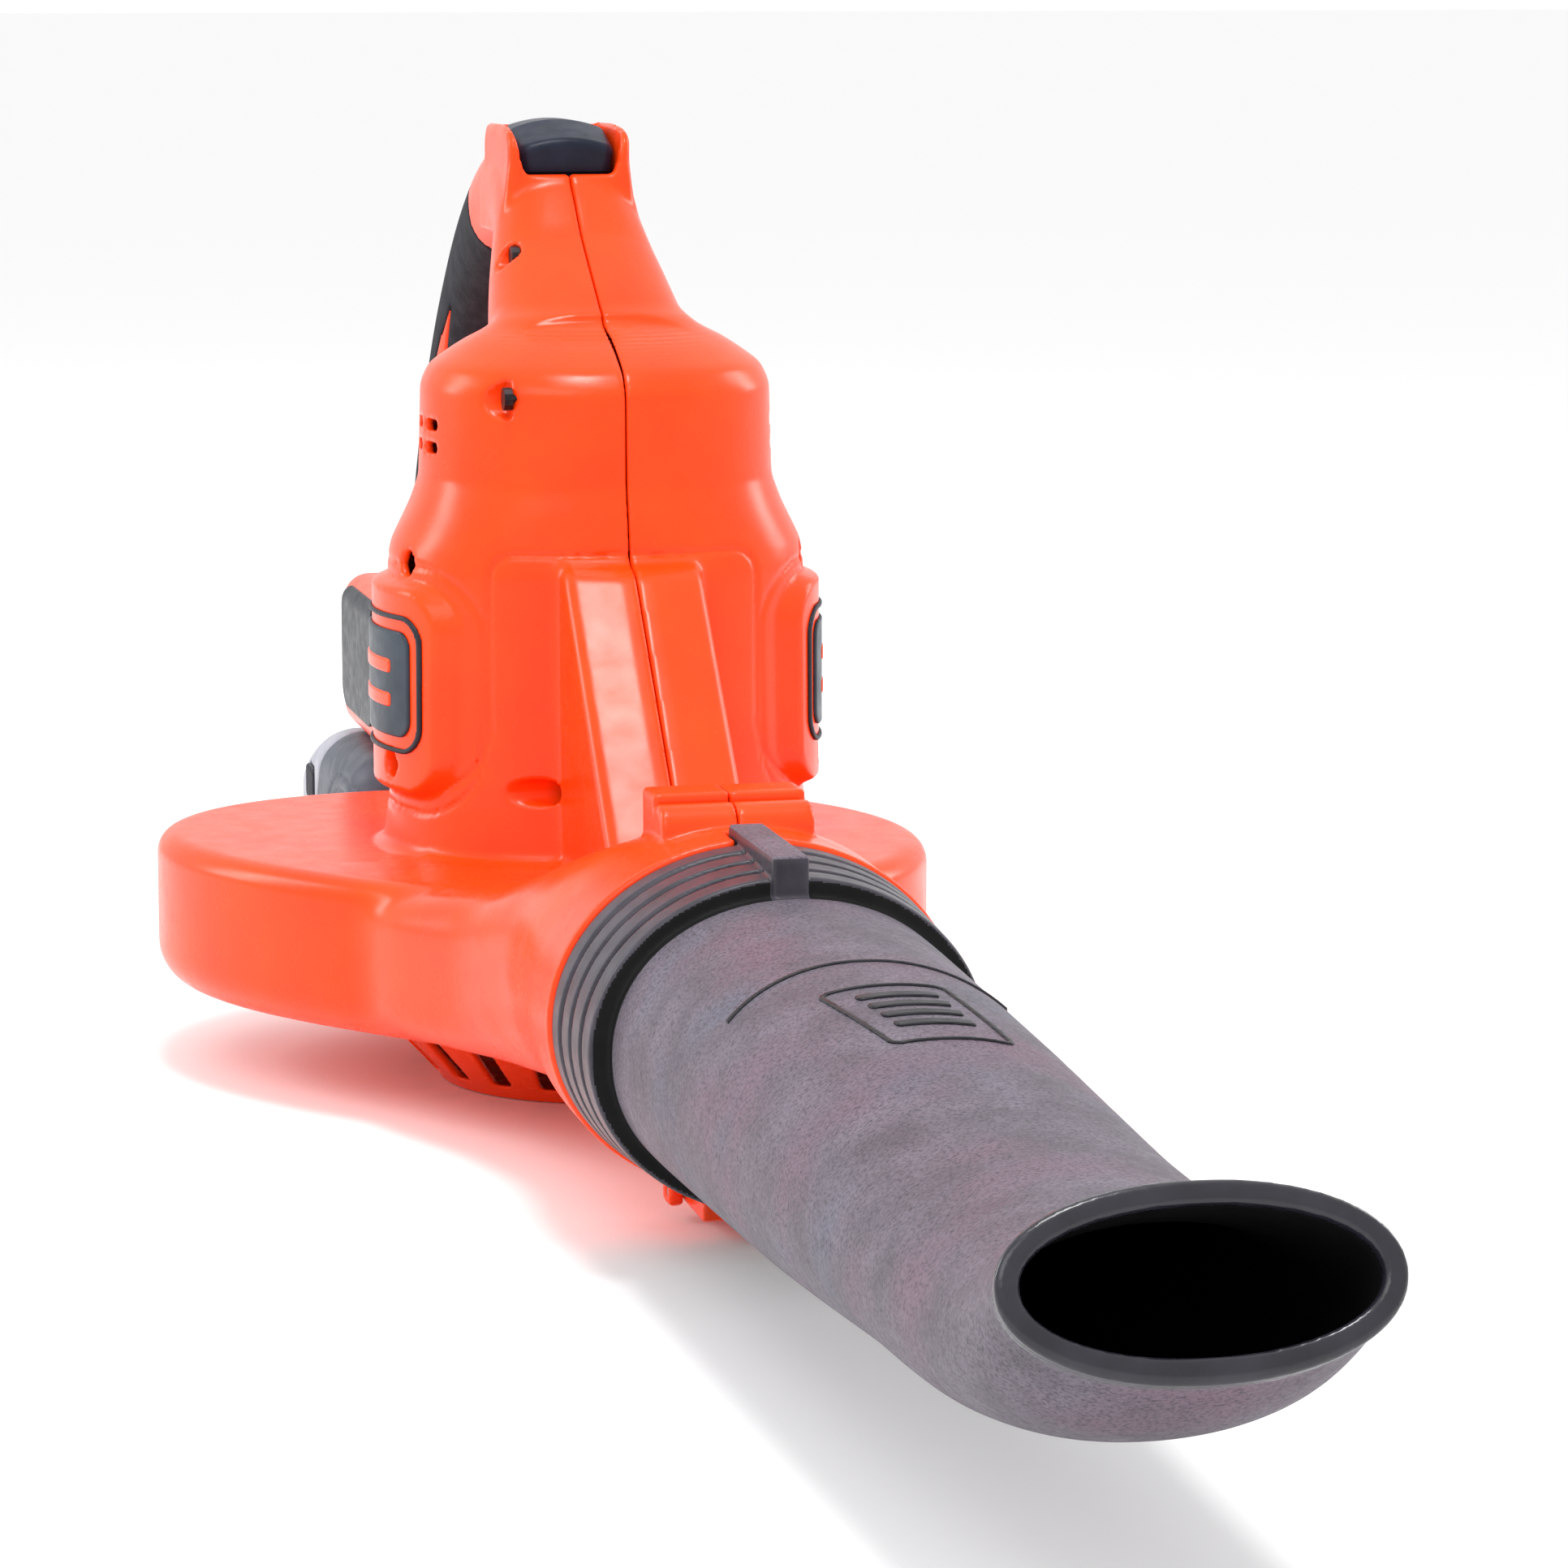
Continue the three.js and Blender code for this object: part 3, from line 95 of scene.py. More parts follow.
# Height, half width and half depth of the motor housing from the scroll to the handle's root.
BODY_LEVELS = [(60, 69, 62), (80, 66.5, 59.5), (92, 65, 58), (120, 65, 57), (164, 65, 56.3), (170, 64, 55),
               (182, 58, 53), (190, 55, 51), (219, 54.2, 50.2), (225, 51.5, 46), (231, 43, 34), (237, 33, 18)]
# Low, high, half width, squareness and sideways place of the outlet duct, from fan to socket.
DUCT_STATIONS = [(-225, 12.5, 111.5, 58, 2.0, 0), (-195, 12.5, 111.5, 58, 2.0, 0),
                 (-182, 22, 108.5, 56, 2.3, 0),
                 (-155, 25, 100.5, 56, 2.7, 0), (-118, 26, 84, 62, 3.6, -2), (-78, 26, 76, 73, 5, -7),
                 (-30, 26, 75, 84, 6, -9)]
# Place (y, z), half width and half thickness along the handle, and below along the tube.
HANDLE = [(4, 222, 33, 24), (34, 247, 27.5, 20), (60, 271, 20.5, 17.5), (97, 275, 18.5, 16.5),
          (134, 262, 18.5, 17), (168, 237, 19.5, 17.5), (196, 200, 21.5, 18.5), (205, 160, 25, 21),
          (203, 120, 30, 26)]
HANDLE_POWER = 2.5
GRIP = (0.47, 0.86)  # the sleeve's ends, as shares of the handle's length
GRIP_DEPTH = 2.0
TUBE = [(-190, 62, 49, 41), (-273, 62, 49, 41), (-336, 62, 47.6, 38.7), (-400, 62, 46, 36),
        (-452, 62.3, 44.7, 32),
        (-500, 63, 43.5, 28), (-560, 65.5, 42.5, 26.5), (-602, 73.5, 42, 23.5), (-632, 90, 42, 19),
        (-646, 98, 42, 18)]
MOUTH = {"y": -632.0, "z": 90.0, "pitch": math.radians(25)}

# ---------------------------------------------------------------- distance fields


def soft_min(a, b, soft):
    """The lower of two distances, with a fillet of about the given size."""
    if soft <= 0:
        return np.minimum(a, b)
    share = np.clip(0.5 + 0.5 * (b - a) / soft, 0, 1)
    return b + (a - b) * share - soft * share * (1 - share)


def soft_max(a, b, soft):
    return -soft_min(-a, -b, soft)


def round_max(a, b, radius):
    """Where both are inside, with the outer edge rounded to a radius."""
    over_a, over_b = np.maximum(a + radius, 0), np.maximum(b + radius, 0)
    return np.hypot(over_a, over_b) + np.minimum(np.maximum(a, b) + radius, 0) - radius


def oval(u, w, half_u, half_w, power):
    """Distance to a superellipse, nearly true close to its edge."""
    u, w = np.maximum(np.abs(u), 0.05) / half_u, np.maximum(np.abs(w), 0.05) / half_w
    size = np.maximum((u ** power + w ** power) ** (1 / power), 0.02)
    slope = size ** (1 - power) * np.hypot(u ** (power - 1) / half_u, w ** (power - 1) / half_w)
    return (size - 1) / np.maximum(slope, 1e-4)


def rod_x(y, z, centre, radius):
    return np.hypot(y - centre[0], z - centre[1]) - radius


def slab(value, low, high):
    return np.abs(value - (low + high) / 2) - (high - low) / 2


def card(u, w, low_u, high_u, low_w, high_w, corner):
    """A rectangle with rounded corners."""
    return round_max(slab(u, low_u, high_u) + 0 * w, slab(w, low_w, high_w) + 0 * u, corner)


def polygon(u, w, corners):
    """A convex outline whose corners run anticlockwise."""
    inside = -FAR
    for (u0, w0), (u1, w1) in zip(corners, corners[1:] + corners[:1]):
        past = ((u - u0) * (w1 - w0) - (w - w0) * (u1 - u0)) / math.hypot(u1 - u0, w1 - w0)
        inside = np.maximum(inside, past)
    return inside


def smooth_table(rows, at, width):
    """The columns of a table of numbers at given places, with its corners eased."""
    rows = np.array(sorted(rows), dtype=float)
    fine = np.arange(rows[0, 0] - 4 * width, rows[-1, 0] + 4 * width, 0.5)
    kernel = np.exp(-0.5 * (np.arange(-3 * width, 3 * width + 0.5, 0.5) / width) ** 2)
    kernel /= kernel.sum()
    eased = []
    for column in rows[:, 1:].T:
        line = np.interp(fine, rows[:, 0], column)
        padded = np.pad(line, len(kernel) // 2, mode="edge")
        smooth = np.convolve(padded, kernel, mode="valid")[:len(fine)]
        eased.append(np.interp(at, fine, smooth).astype(np.float32))
    return eased


class Field:
    """A box of voxels that holds the distance to a moulding's surface."""

    def __init__(self, low, high, step):
        self.low, self.step = np.array(low, dtype=float), step
        self.axes = [np.arange(a, b + step, step, dtype=np.float32) for a, b in zip(low, high)]
        self.d = np.full([len(a) for a in self.axes], FAR, np.float32)

    def window(self, low, high):
        parts = []
        for axis, a, b in zip(self.axes, low, high):
            parts.append(slice(int(np.searchsorted(axis, a)), int(np.searchsorted(axis, b))))
        coordinates = np.meshgrid(*[axis[s] for axis, s in zip(self.axes, parts)], indexing="ij", sparse=True)
        return tuple(parts), coordinates

    def add(self, shape, low, high, soft=0.0):
        part, (x, y, z) = self.window(low, high)
        if self.d[part].size:
            self.d[part] = soft_min(self.d[part], shape(x, y, z), soft)

    def cut(self, shape, low, high, soft=0.0):
        part, (x, y, z) = self.window(low, high)
        if self.d[part].size:
            self.d[part] = soft_max(self.d[part], -shape(x, y, z), soft)

    def refill(self, solid, shape, low, high):
        """Puts back what a hollow took from the solid, within a shape."""
        part, (x, y, z) = self.window(low, high)
        if self.d[part].size:
            self.d[part] = np.minimum(self.d[part], np.maximum(solid[part], shape(x, y, z)))

    def keep(self, shape, soft=0.0):
        part, (x, y, z) = self.window(self.low - 1, self.low + 1e4)
        self.d[part] = soft_max(self.d[part], shape(x, y, z), soft)

    def sample(self, points):
        """The field at loose points, by trilinear interpolation."""
        place = (points - self.low) / self.step
        limit = np.array(self.d.shape) - 2
        cell = np.clip(np.floor(place).astype(int), 0, limit)
        rest = place - cell
        total = 0
        for corner in range(8):
            bits = np.array([corner & 1, corner >> 1 & 1, corner >> 2 & 1])
            weight = np.prod(np.where(bits, rest, 1 - rest), axis=1)
            index = cell + bits
            total = total + weight * self.d[index[:, 0], index[:, 1], index[:, 2]]
        return total

    def settle(self, points, rounds=2):
        """Moves points onto the surface along the field's slope."""
        reach = self.step * 0.5
        for _ in range(rounds):
            slope = np.stack([self.sample(points + reach * e) - self.sample(points - reach * e)
                              for e in np.eye(3)], axis=1) / (2 * reach)
            size = np.maximum((slope ** 2).sum(axis=1), 0.2)
            move = -self.sample(points)[:, None] * slope / size[:, None]
            length = np.linalg.norm(move, axis=1, keepdims=True)
            points = points + move * np.minimum(1, 0.5 * self.step / np.maximum(length, 1e-6))
        return points

    def mesh(self, name, smooth=2):
        volume = openvdb.FloatGrid(background=FAR)
        volume.copyFromArray(self.d)
        points, quads = volume.convertToQuads(isovalue=0.0)
        points = points.astype(float) * self.step + self.low
        quads = largest_shell(points, quads.astype(np.int64))
        used, quads = np.unique(quads, return_inverse=True)
        points, quads = points[used], quads.reshape(-1, 4)
        points = self.settle(points)
        points = relax(points, quads, smooth)
        return make_mesh(name, points * MM, quads)


def largest_shell(points, quads):
    """The quads of every connected surface that is big enough to be a real one."""
    label = np.arange(len(points))
    edges = np.concatenate([quads[:, [0, 1]], quads[:, [1, 2]], quads[:, [2, 3]]])
    while True:
        low = np.minimum(label[edges[:, 0]], label[edges[:, 1]])
        before = label.copy()
        np.minimum.at(label, edges[:, 0], low)
        np.minimum.at(label, edges[:, 1], low)
        label = label[label]
        if np.array_equal(before, label):
            break
    names, counts = np.unique(label[quads[:, 0]], return_counts=True)
    return quads[np.isin(label[quads[:, 0]], names[counts > 400])]


def relax(points, quads, rounds):
    """Evens out the mesh by moving each point part of the way to its neighbours' middle, and back."""
    a = np.concatenate([quads[:, 0], quads[:, 1], quads[:, 2], quads[:, 3]])
    b = np.concatenate([quads[:, 1], quads[:, 2], quads[:, 3], quads[:, 0]])
    count = np.bincount(a, minlength=len(points)) + np.bincount(b, minlength=len(points))
    for share in [0.5, -0.52] * rounds:
        sums = [np.bincount(a, points[b, k], len(points)) + np.bincount(b, points[a, k], len(points))
                for k in range(3)]
        total = np.stack(sums, axis=1)
        points = points + share * (total / count[:, None] - points)
    return points


def make_mesh(name, points, quads):
    mesh = bpy.data.meshes.new(name)
    mesh.vertices.add(len(points))
    mesh.vertices.foreach_set("co", points.astype(np.float32).ravel())
    mesh.loops.add(quads.size)
    mesh.loops.foreach_set("vertex_index", quads.astype(np.int32).ravel())
    mesh.polygons.add(len(quads))
    mesh.polygons.foreach_set("loop_start", np.arange(0, quads.size, quads.shape[1], dtype=np.int32))
    mesh.polygons.foreach_set("use_smooth", np.ones(len(quads), dtype=bool))
    mesh.update(calc_edges=True)
    mesh.validate()
    corner = points[quads]
    normal = np.cross(corner[:, 2] - corner[:, 0], corner[:, 3] - corner[:, 1]) if quads.shape[1] == 4 else \
        np.cross(corner[:, 1] - corner[:, 0], corner[:, 2] - corner[:, 0])
    if (normal * corner.mean(axis=1)).sum() < 0:
        mesh.flip_normals()
    made = bpy.data.objects.new(name, mesh)
    bpy.context.scene.collection.objects.link(made)
    return made


# ---------------------------------------------------------------- shapes of the casing


def scroll(x, y, z, inset=0.0):
    reach = np.hypot(x, y)
    away = ((np.degrees(np.arctan2(y, x)) % 360) - SCROLL["peak"]) / SCROLL["spread"]
    swell = SCROLL["growth"] * np.exp(-away * away)
    slope = 2 * np.degrees(away) * swell / SCROLL["spread"] / np.maximum(reach, 60)
    side = (reach - SCROLL["radius"] - swell) / np.sqrt(1 + slope * slope) + inset
    up = z - (SCROLL["low"] + SCROLL["high"]) / 2
    half = (SCROLL["high"] - SCROLL["low"]) / 2 - inset
    edge = np.where(up > 0, SCROLL["high_edge"], SCROLL["low_edge"]) - inset
    over_side, over_up = np.maximum(side + edge, 0), np.maximum(np.abs(up) - half + edge, 0)
    inner = np.minimum(np.maximum(side, np.abs(up) - half) + edge, 0)
    return np.hypot(over_side, over_up) + inner - edge


def duct(x, y, z, inset=0.0):
    low, high, half_x, power, aside = smooth_table(DUCT_STATIONS, y, 6.0)
    half_z = (high - low) / 2
    return oval(x - aside, z - (low + high) / 2, half_x - inset, half_z - inset, power)


def outer_duct(x, y, z):
    return round_max(duct(x, y, z), slab(y, SOCKET["y"], -30.0) + 0 * x, 1.2)


def housing(x, y, z, grow=0.0):
    half_x, half_y = smooth_table(BODY_LEVELS, z, 1.3)
    side = oval(x, y - BODY_Y, half_x + grow, half_y + grow, BODY_POWER)
    return round_max(side, slab(z, 60.0, 238.0 + grow) + 0 * side, 6.0)


def boss(x, y, z):
    """The raised pad on each side that carries the badge."""
    outline = card(y, z, -37, 37, 93, 160, 15.0)
    rise = np.clip(-outline / 2.4, 0, 1) * BOSS_RISE
    half_x, half_y = smooth_table(BODY_LEVELS, z, 1.3)
    side = oval(x, y - BODY_Y, half_x, half_y, BODY_POWER) - rise
    return np.maximum(soft_max(side, outline + 0 * x, 1.5), 20 - np.abs(x))


def boss_face(x, y, z):
    half_x, half_y = smooth_table(BODY_LEVELS, z, 1.3)
    return oval(x, y - BODY_Y, half_x, half_y, BODY_POWER) - BOSS_RISE


def boss_groove(x, y, z):
    """A fine line round the boss where it meets the housing."""
    return np.abs(card(y, z, -41.5, 41.5, 88.5, 164.5, 19.0)) + 0 * x


def panel_groove(x, y, z):
    """A fine groove that outlines the front panel, as a distance from its centre line."""
    across = np.abs(x)
    spread = np.where(z < 119, 41.3 + 24 * (1 - np.sqrt(np.clip(1 - ((119 - z) / 25) ** 2, 0, 1))), 41.3)
    upper = round_max(across - 41.3 + 0 * z, z - 170.3 + 0 * x, 8.0)
    lower = (across - spread) / np.where(z < 119, 1.35, 1.0)
    line = np.where(z > 119, upper, lower)
    return np.abs(line)


def ridge(x, y, z):
    """The ridge from the housing down on to the duct; its face is creased into three facets."""
    run, rise = 68.0, 74.0
    length = math.hypot(run, rise)
    fold = 2.2 * np.clip((np.abs(x) - 5) / 14, 0, 1)
    front = (-(y + 128) * rise + (z - 94) * run) / length + fold
    top = ((z - 166.5) - (y + 60) * 0.15) * 0.99
    profile = soft_max(front, np.maximum(top, y + 10) + 0 * x, 3.5)
    return round_max(profile, np.abs(x) - 21.5 + 0 * profile, 3.5)


def latch_block(x, y, z):
    """The block over the socket: a round bar in front of a flat strip, with a groove between."""
    bar = rod_x(y, z, (-197.5, 109.8), 7.6)
    back = card(y, z, -193, -177, 96, 119.5, 1.4)
    whole = np.minimum(bar, back) + 0 * x
    return round_max(whole, np.abs(x) - 21.7 + 0 * (y + z), 1.0)


def catmull_rom(points, samples):
    """A centripetal curve through points, sampled evenly within each span."""
    points = np.array(points, dtype=float)
    ends = [2 * points[0] - points[1], *points, 2 * points[-1] - points[-2]]
    out = []
    for i in range(len(points) - 1):
        p0, p1, p2, p3 = (np.array(p) for p in ends[i:i + 4])
        t0 = 0.0
        t1 = t0 + np.linalg.norm(p1 - p0) ** 0.5
        t2 = t1 + np.linalg.norm(p2 - p1) ** 0.5
        t3 = t2 + np.linalg.norm(p3 - p2) ** 0.5
        for t in np.linspace(t1, t2, samples, endpoint=False):
            a1 = (t1 - t) / (t1 - t0) * p0 + (t - t0) / (t1 - t0) * p1
            a2 = (t2 - t) / (t2 - t1) * p1 + (t - t1) / (t2 - t1) * p2
            a3 = (t3 - t) / (t3 - t2) * p2 + (t - t2) / (t3 - t2) * p3
            b1 = (t2 - t) / (t2 - t0) * a1 + (t - t0) / (t2 - t0) * a2
            b2 = (t3 - t) / (t3 - t1) * a2 + (t - t1) / (t3 - t1) * a3
            out.append((t2 - t) / (t2 - t1) * b1 + (t - t1) / (t2 - t1) * b2)
    return np.array([*out, points[-1]])


class Sweep:
    """A superellipse swept along a curve in the YZ plane, with its own half width and thickness."""

    def __init__(self, rows, power):
        rows = np.array(rows, dtype=float)
        self.power = power
        self.centre = catmull_rom(rows[:, :2], 24)
        tangent = np.gradient(self.centre, axis=0)
        self.tangent = tangent / np.linalg.norm(tangent, axis=1, keepdims=True)
        self.place = np.linspace(0, 1, len(self.centre))
        at = np.linspace(0, 1, len(rows))
        wide, thick = np.interp(self.place, at, rows[:, 2]), np.interp(self.place, at, rows[:, 3])
        kernel = np.hanning(27) / np.hanning(27).sum()
        padded = (np.pad(v, 13, mode="edge") for v in (wide, thick))
        self.wide, self.thick = (np.convolve(v, kernel, mode="valid") for v in padded)
        step = np.linalg.norm(np.diff(self.centre, axis=0), axis=1).mean()
        self.step = step

    def locate(self, y, z):
        """Place along the curve, offset out of it and reach past its ends, for each cell."""
        yy, zz = np.broadcast_arrays(y, z)
        shape = yy.shape
        spots = np.stack([yy.ravel(), zz.ravel()], axis=1).astype(np.float32)
        nearest = np.empty(len(spots), dtype=int)
        centre = self.centre.astype(np.float32)
        for start in range(0, len(spots), 20000):
            part = spots[start:start + 20000]
            gap = (part[:, None, 0] - centre[None, :, 0]) ** 2 + (part[:, None, 1] - centre[None, :, 1]) ** 2
            nearest[start:start + 20000] = gap.argmin(axis=1)
        away = spots - centre[nearest]
        tangent = self.tangent[nearest]
        along = away[:, 0] * tangent[:, 0] + away[:, 1] * tangent[:, 1]
        out = -away[:, 0] * tangent[:, 1] + away[:, 1] * tangent[:, 0]
        local = np.gradient(self.place)[nearest] / np.maximum(
            np.linalg.norm(np.gradient(self.centre, axis=0), axis=1)[nearest], 1e-6)
        place = np.clip(self.place[nearest] + along * local, 0, 1)
        past = np.where(nearest == 0, -along, np.where(nearest == len(centre) - 1, along, -FAR))
        return [v.reshape(shape).astype(np.float32) for v in (place, out, past)]

    def distance(self, x, y, z, grow=0.0, located=None):
        place, out, past = located or self.locate(y, z)
        wide = np.interp(place, self.place, self.wide).astype(np.float32) + grow
        thick = np.interp(place, self.place, self.thick).astype(np.float32) + grow
        return np.maximum(oval(x, out, wide, thick, self.power), past)


handle_sweep = Sweep(HANDLE, HANDLE_POWER)


def sleeve_zone(x, y, z, margin=0.0):
    """Inside the part of the handle that the rubber sleeve covers, with a tongue left out at each side."""
    place, out, _ = handle_sweep.locate(y, z)
    length = handle_sweep.step * (len(handle_sweep.place) - 1)
    half = 7.5 * np.clip((place - 0.615) / 0.16, 0, 1) - 0.6
    tongue = np.maximum(np.abs(out + 7.0) - half, 9 - np.abs(x))
    return np.maximum(slab(place, *GRIP) * length + 0 * x, -tongue) + margin


def foot(x, y, z, inset=0.0):
    half_x = np.interp(y, [20, 120], [42, 46]).astype(np.float32)
    side = round_max(np.abs(x) - half_x + 0 * z, slab(z, 78, 133) + 0 * x, 9.0)
    return round_max(side, slab(y, 0, 245) + 0 * side, 11.0) + inset


def ears(x, y, z):
    """The two walls that stand beside the button."""
    top = np.interp(y, [38, 41, 46, 54, 66, 84, 90], [284, 292, 295, 296, 296.5, 296, 288]).astype(np.float32)
    wide = 19.6 + 1.6 * np.clip((285 - z) / 14, 0, 1)
    shape = round_max(np.abs(x) - wide + 0 * y, (z - top) * 0.85 + 0 * x, 2.0)
    shape = round_max(shape, slab(y, 40.5, 89) + 0 * shape, 3.0)
    return np.maximum(shape, 262 - z)


def button_recess(x, y, z):
    half = button_half(z) + 0.8
    across = round_max(np.abs(x) - half, 270.5 - z + 0 * x, 4.0)
    return round_max(across + 0 * y, slab(y, 45.0, 83.0) + 0 * across, 1.5)


def button_half(z):
    return 14.3 + 1.9 * np.clip((z - 276) / 18, 0, 1)


def front_notch(x, y, z):
    """The front wall under the button dips, so that the button's face shows."""
    lip = 281.0 + 9.0 * np.clip((np.abs(x) - 13.2) / 3.6, 0, 1) ** 2
    return np.maximum(np.maximum(np.abs(x) - button_half(z) - 0.8, lip - z), slab(y, 30, 50))


def lugs(x, y, z):
    profile = round_max(slab(y, -203, -192) + 0 * z, slab(z, 4, 26) + 0 * y, 3.0)
    return round_max(profile + 0 * x, slab(np.abs(x), 15.5, 19.5) + 0 * profile, 0.8)


# Place (y, z), depth in x, radius and side of each screw's recess.
SCREW_HOLES = [((-38, 217), -36, 6.3, -1), ((26, 256), -22, 4.0, -1), ((-50, 98), -20, 4.0, -1),
               ((226, 112), -36, 4.0, -1)]
MOUNT_HOLES = [(-14, 103), (-14, 165)]


def casing_half(side):
    """One half of the casing: side is -1 for the left half and 1 for the right."""
    low = [casing_low[0] - 3, SOCKET["y"] - 3, 0] if side < 0 else [-1.5, SOCKET["y"] - 3, 0]
    high = [1.5, 249, 300] if side < 0 else [107, 249, 300]
    field = Field(low, high, VOXEL)
    field.add(housing, [-80, -75, 55], [80, 75, 250])
    field.add(handle_sweep.distance, [-40, -30, 95], [40, 240, 300], soft=6)
    field.add(foot, [-60, -5, 70], [60, 250, 145], soft=5)
    field.add(ridge, [-30, -140, 66], [30, 20, 185], soft=4)
    field.cut(lambda x, y, z: np.maximum(panel_groove(x, y, z) - 0.65, -housing(x, y, z) - 0.8),
              [-66, -62, 95], [66, -20, 176], soft=0.5)
    field.cut(lambda x, y, z: np.maximum(boss_groove(x, y, z) - 0.55, -housing(x, y, z) - 0.6),
              [-78, -45, 86], [78, 45, 168], soft=0.5)
    field.add(boss, [-78, -45, 85], [78, 45, 168], soft=0.8)
    field.add(outer_duct, [-95, -240, 5], [95, -25, 125], soft=5)
    field.add(scroll, [-145, -115, 15], [115, 125, 85], soft=4)
    field.add(latch_block, [-30, -215, 90], [30, -170, 127], soft=1.5)
    field.add(ears, [-28, 32, 255], [28, 95, 300], soft=2.5)
    field.add(lugs, [-28, -215, 0], [28, -185, 30], soft=1.5)
    solid = field.d.copy()
    # Hollows: the fan's room and its duct, then the motor's room above them.
    field.cut(lambda x, y, z: scroll(x, y, z, WALL), [-145, -115, 20], [115, 125, 80])
    field.cut(lambda x, y, z: np.maximum(duct(x, y, z, WALL), y + 30),
              [-95, -235, 5], [95, -25, 125], soft=0.5)
    field.cut(lambda x, y, z: np.maximum(np.hypot(x, y) - 60, slab(z, 18, 34)),
              [-70, -70, 15], [70, 70, 38], soft=0.6)
    field.cut(lambda x, y, z: np.maximum(np.hypot(x, y) - 18, slab(z, 66, 84)), [-30, -30, 62], [30, 30, 90])
    field.cut(motor_room, [-75, -75, 76], [75, 245, 290])
    cut_sleeve(field)
    for (y0, z0), inner, radius, which in SCREW_HOLES:
        if which == side:
            post = radius + 2.5
            field.refill(solid, lambda x, y, z: np.maximum(rod_x(y, z, (y0, z0), post) + 0 * x, x - inner - 6),
                         [-90, y0 - 10, z0 - 10], [inner + 8, y0 + 10, z0 + 10])
            field.cut(lambda x, y, z: np.maximum(rod_x(y, z, (y0, z0), radius) + 0 * x, x - inner - 2.9),
                      [-90, y0 - 10, z0 - 10], [inner + 6, y0 + 10, z0 + 10], soft=0.8)
    for y0, z0 in MOUNT_HOLES:
        field.cut(lambda x, y, z: np.maximum(rod_x(y, z, (y0, z0), 4.0) + 0 * x, 54.1 - np.abs(x)),
                  [-90, y0 - 9, z0 - 9], [90, y0 + 9, z0 + 9], soft=0.8)
    for y0 in (-8, 6, 20):
        for z0 in (200, 207):
            field.cut(lambda x, y, z: np.maximum(card(y, z, y0 - 5, y0 + 5, z0 - 1.7, z0 + 1.7, 1.5) + 0 * x,
                                                 40 - np.abs(x)),
                      [-80, y0 - 10, z0 - 6], [80, y0 + 10, z0 + 6], soft=0.5)
    field.cut(button_recess, [-22, 40, 265], [22, 90, 301], soft=1.0)
    field.cut(front_notch, [-22, 34, 276], [22, 52, 301], soft=1.6)
    field.cut(trigger_well, [-14, 95, 215], [14, 170, 275], soft=0.6)
    field.cut(lambda x, y, z: np.maximum(np.abs(x) - 5.5,
                                         np.maximum(slab(y, -231, -209), slab(z, 101, 114.6))),
              [-12, -232, 96], [12, -203, 120], soft=0.3)
    field.cut(lambda x, y, z: np.maximum(np.abs(x) - 24.5, np.maximum(slab(y, 160, 256), slab(z, 70, 83.6))),
              [-30, 155, 70], [30, 252, 88], soft=0.5)
    field.cut(lambda x, y, z: np.maximum(np.abs(x) - 5.6, np.maximum(slab(y, -223, -212), slab(z, 4, 24))),
              [-10, -228, 4], [10, -208, 28], soft=0.3)
    field.cut(lambda x, y, z: rod_x(y, z, (-198, 7.6), 1.8) + 0 * x, [-30, -205, 2], [30, -190, 14])
    field.keep(lambda x, y, z: -side * x + SEAM + 0 * (y + z), soft=0.5)
    return field


def motor_room(x, y, z):
    room = np.maximum(housing(x, y, z) + WALL, 78 - z)
    room = np.minimum(room, handle_sweep.distance(x, y, z, -WALL - GRIP_DEPTH))
    room = np.minimum(room, foot(x, y, z, WALL))
    dividers = duct(x, np.minimum(y, -31), z)
    return np.maximum(room, -np.where(y < -30, dividers, FAR))


def cut_sleeve(field):
    """Sinks the handle by the rubber's depth where the sleeve lies."""
    def band(x, y, z):
        inner = handle_sweep.distance(x, y, z, -GRIP_DEPTH)
        return np.maximum(-inner, sleeve_zone(x, y, z))
    field.cut(band, [-35, 85, 130], [35, 235, 300], soft=0.3)


def trigger_well(x, y, z):
    spot = handle_sweep
    place, out, _ = spot.locate(y, z)
    middle = int(0.5 * (len(spot.place) - 1))
    centre, tangent = spot.centre[middle], spot.tangent[middle]
    along = (y - centre[0]) * tangent[0] + (z - centre[1]) * tangent[1]
    inward = (y - centre[0]) * tangent[1] - (z - centre[1]) * tangent[0]
    return round_max(round_max(slab(along, -25.5, 23.2), slab(inward, 8, 40), 2.0) + 0 * x,
                     np.abs(x) - 8.5 + 0 * along, 1.0)


# ---------------------------------------------------------------- materials


def srgb(red, green, blue):
    """Linear colour from 0-255 display values."""
    return tuple(v / 3294.6 if v <= 10.31 else ((v / 255 + 0.055) / 1.055) ** 2.4 for v in (red, green, blue))


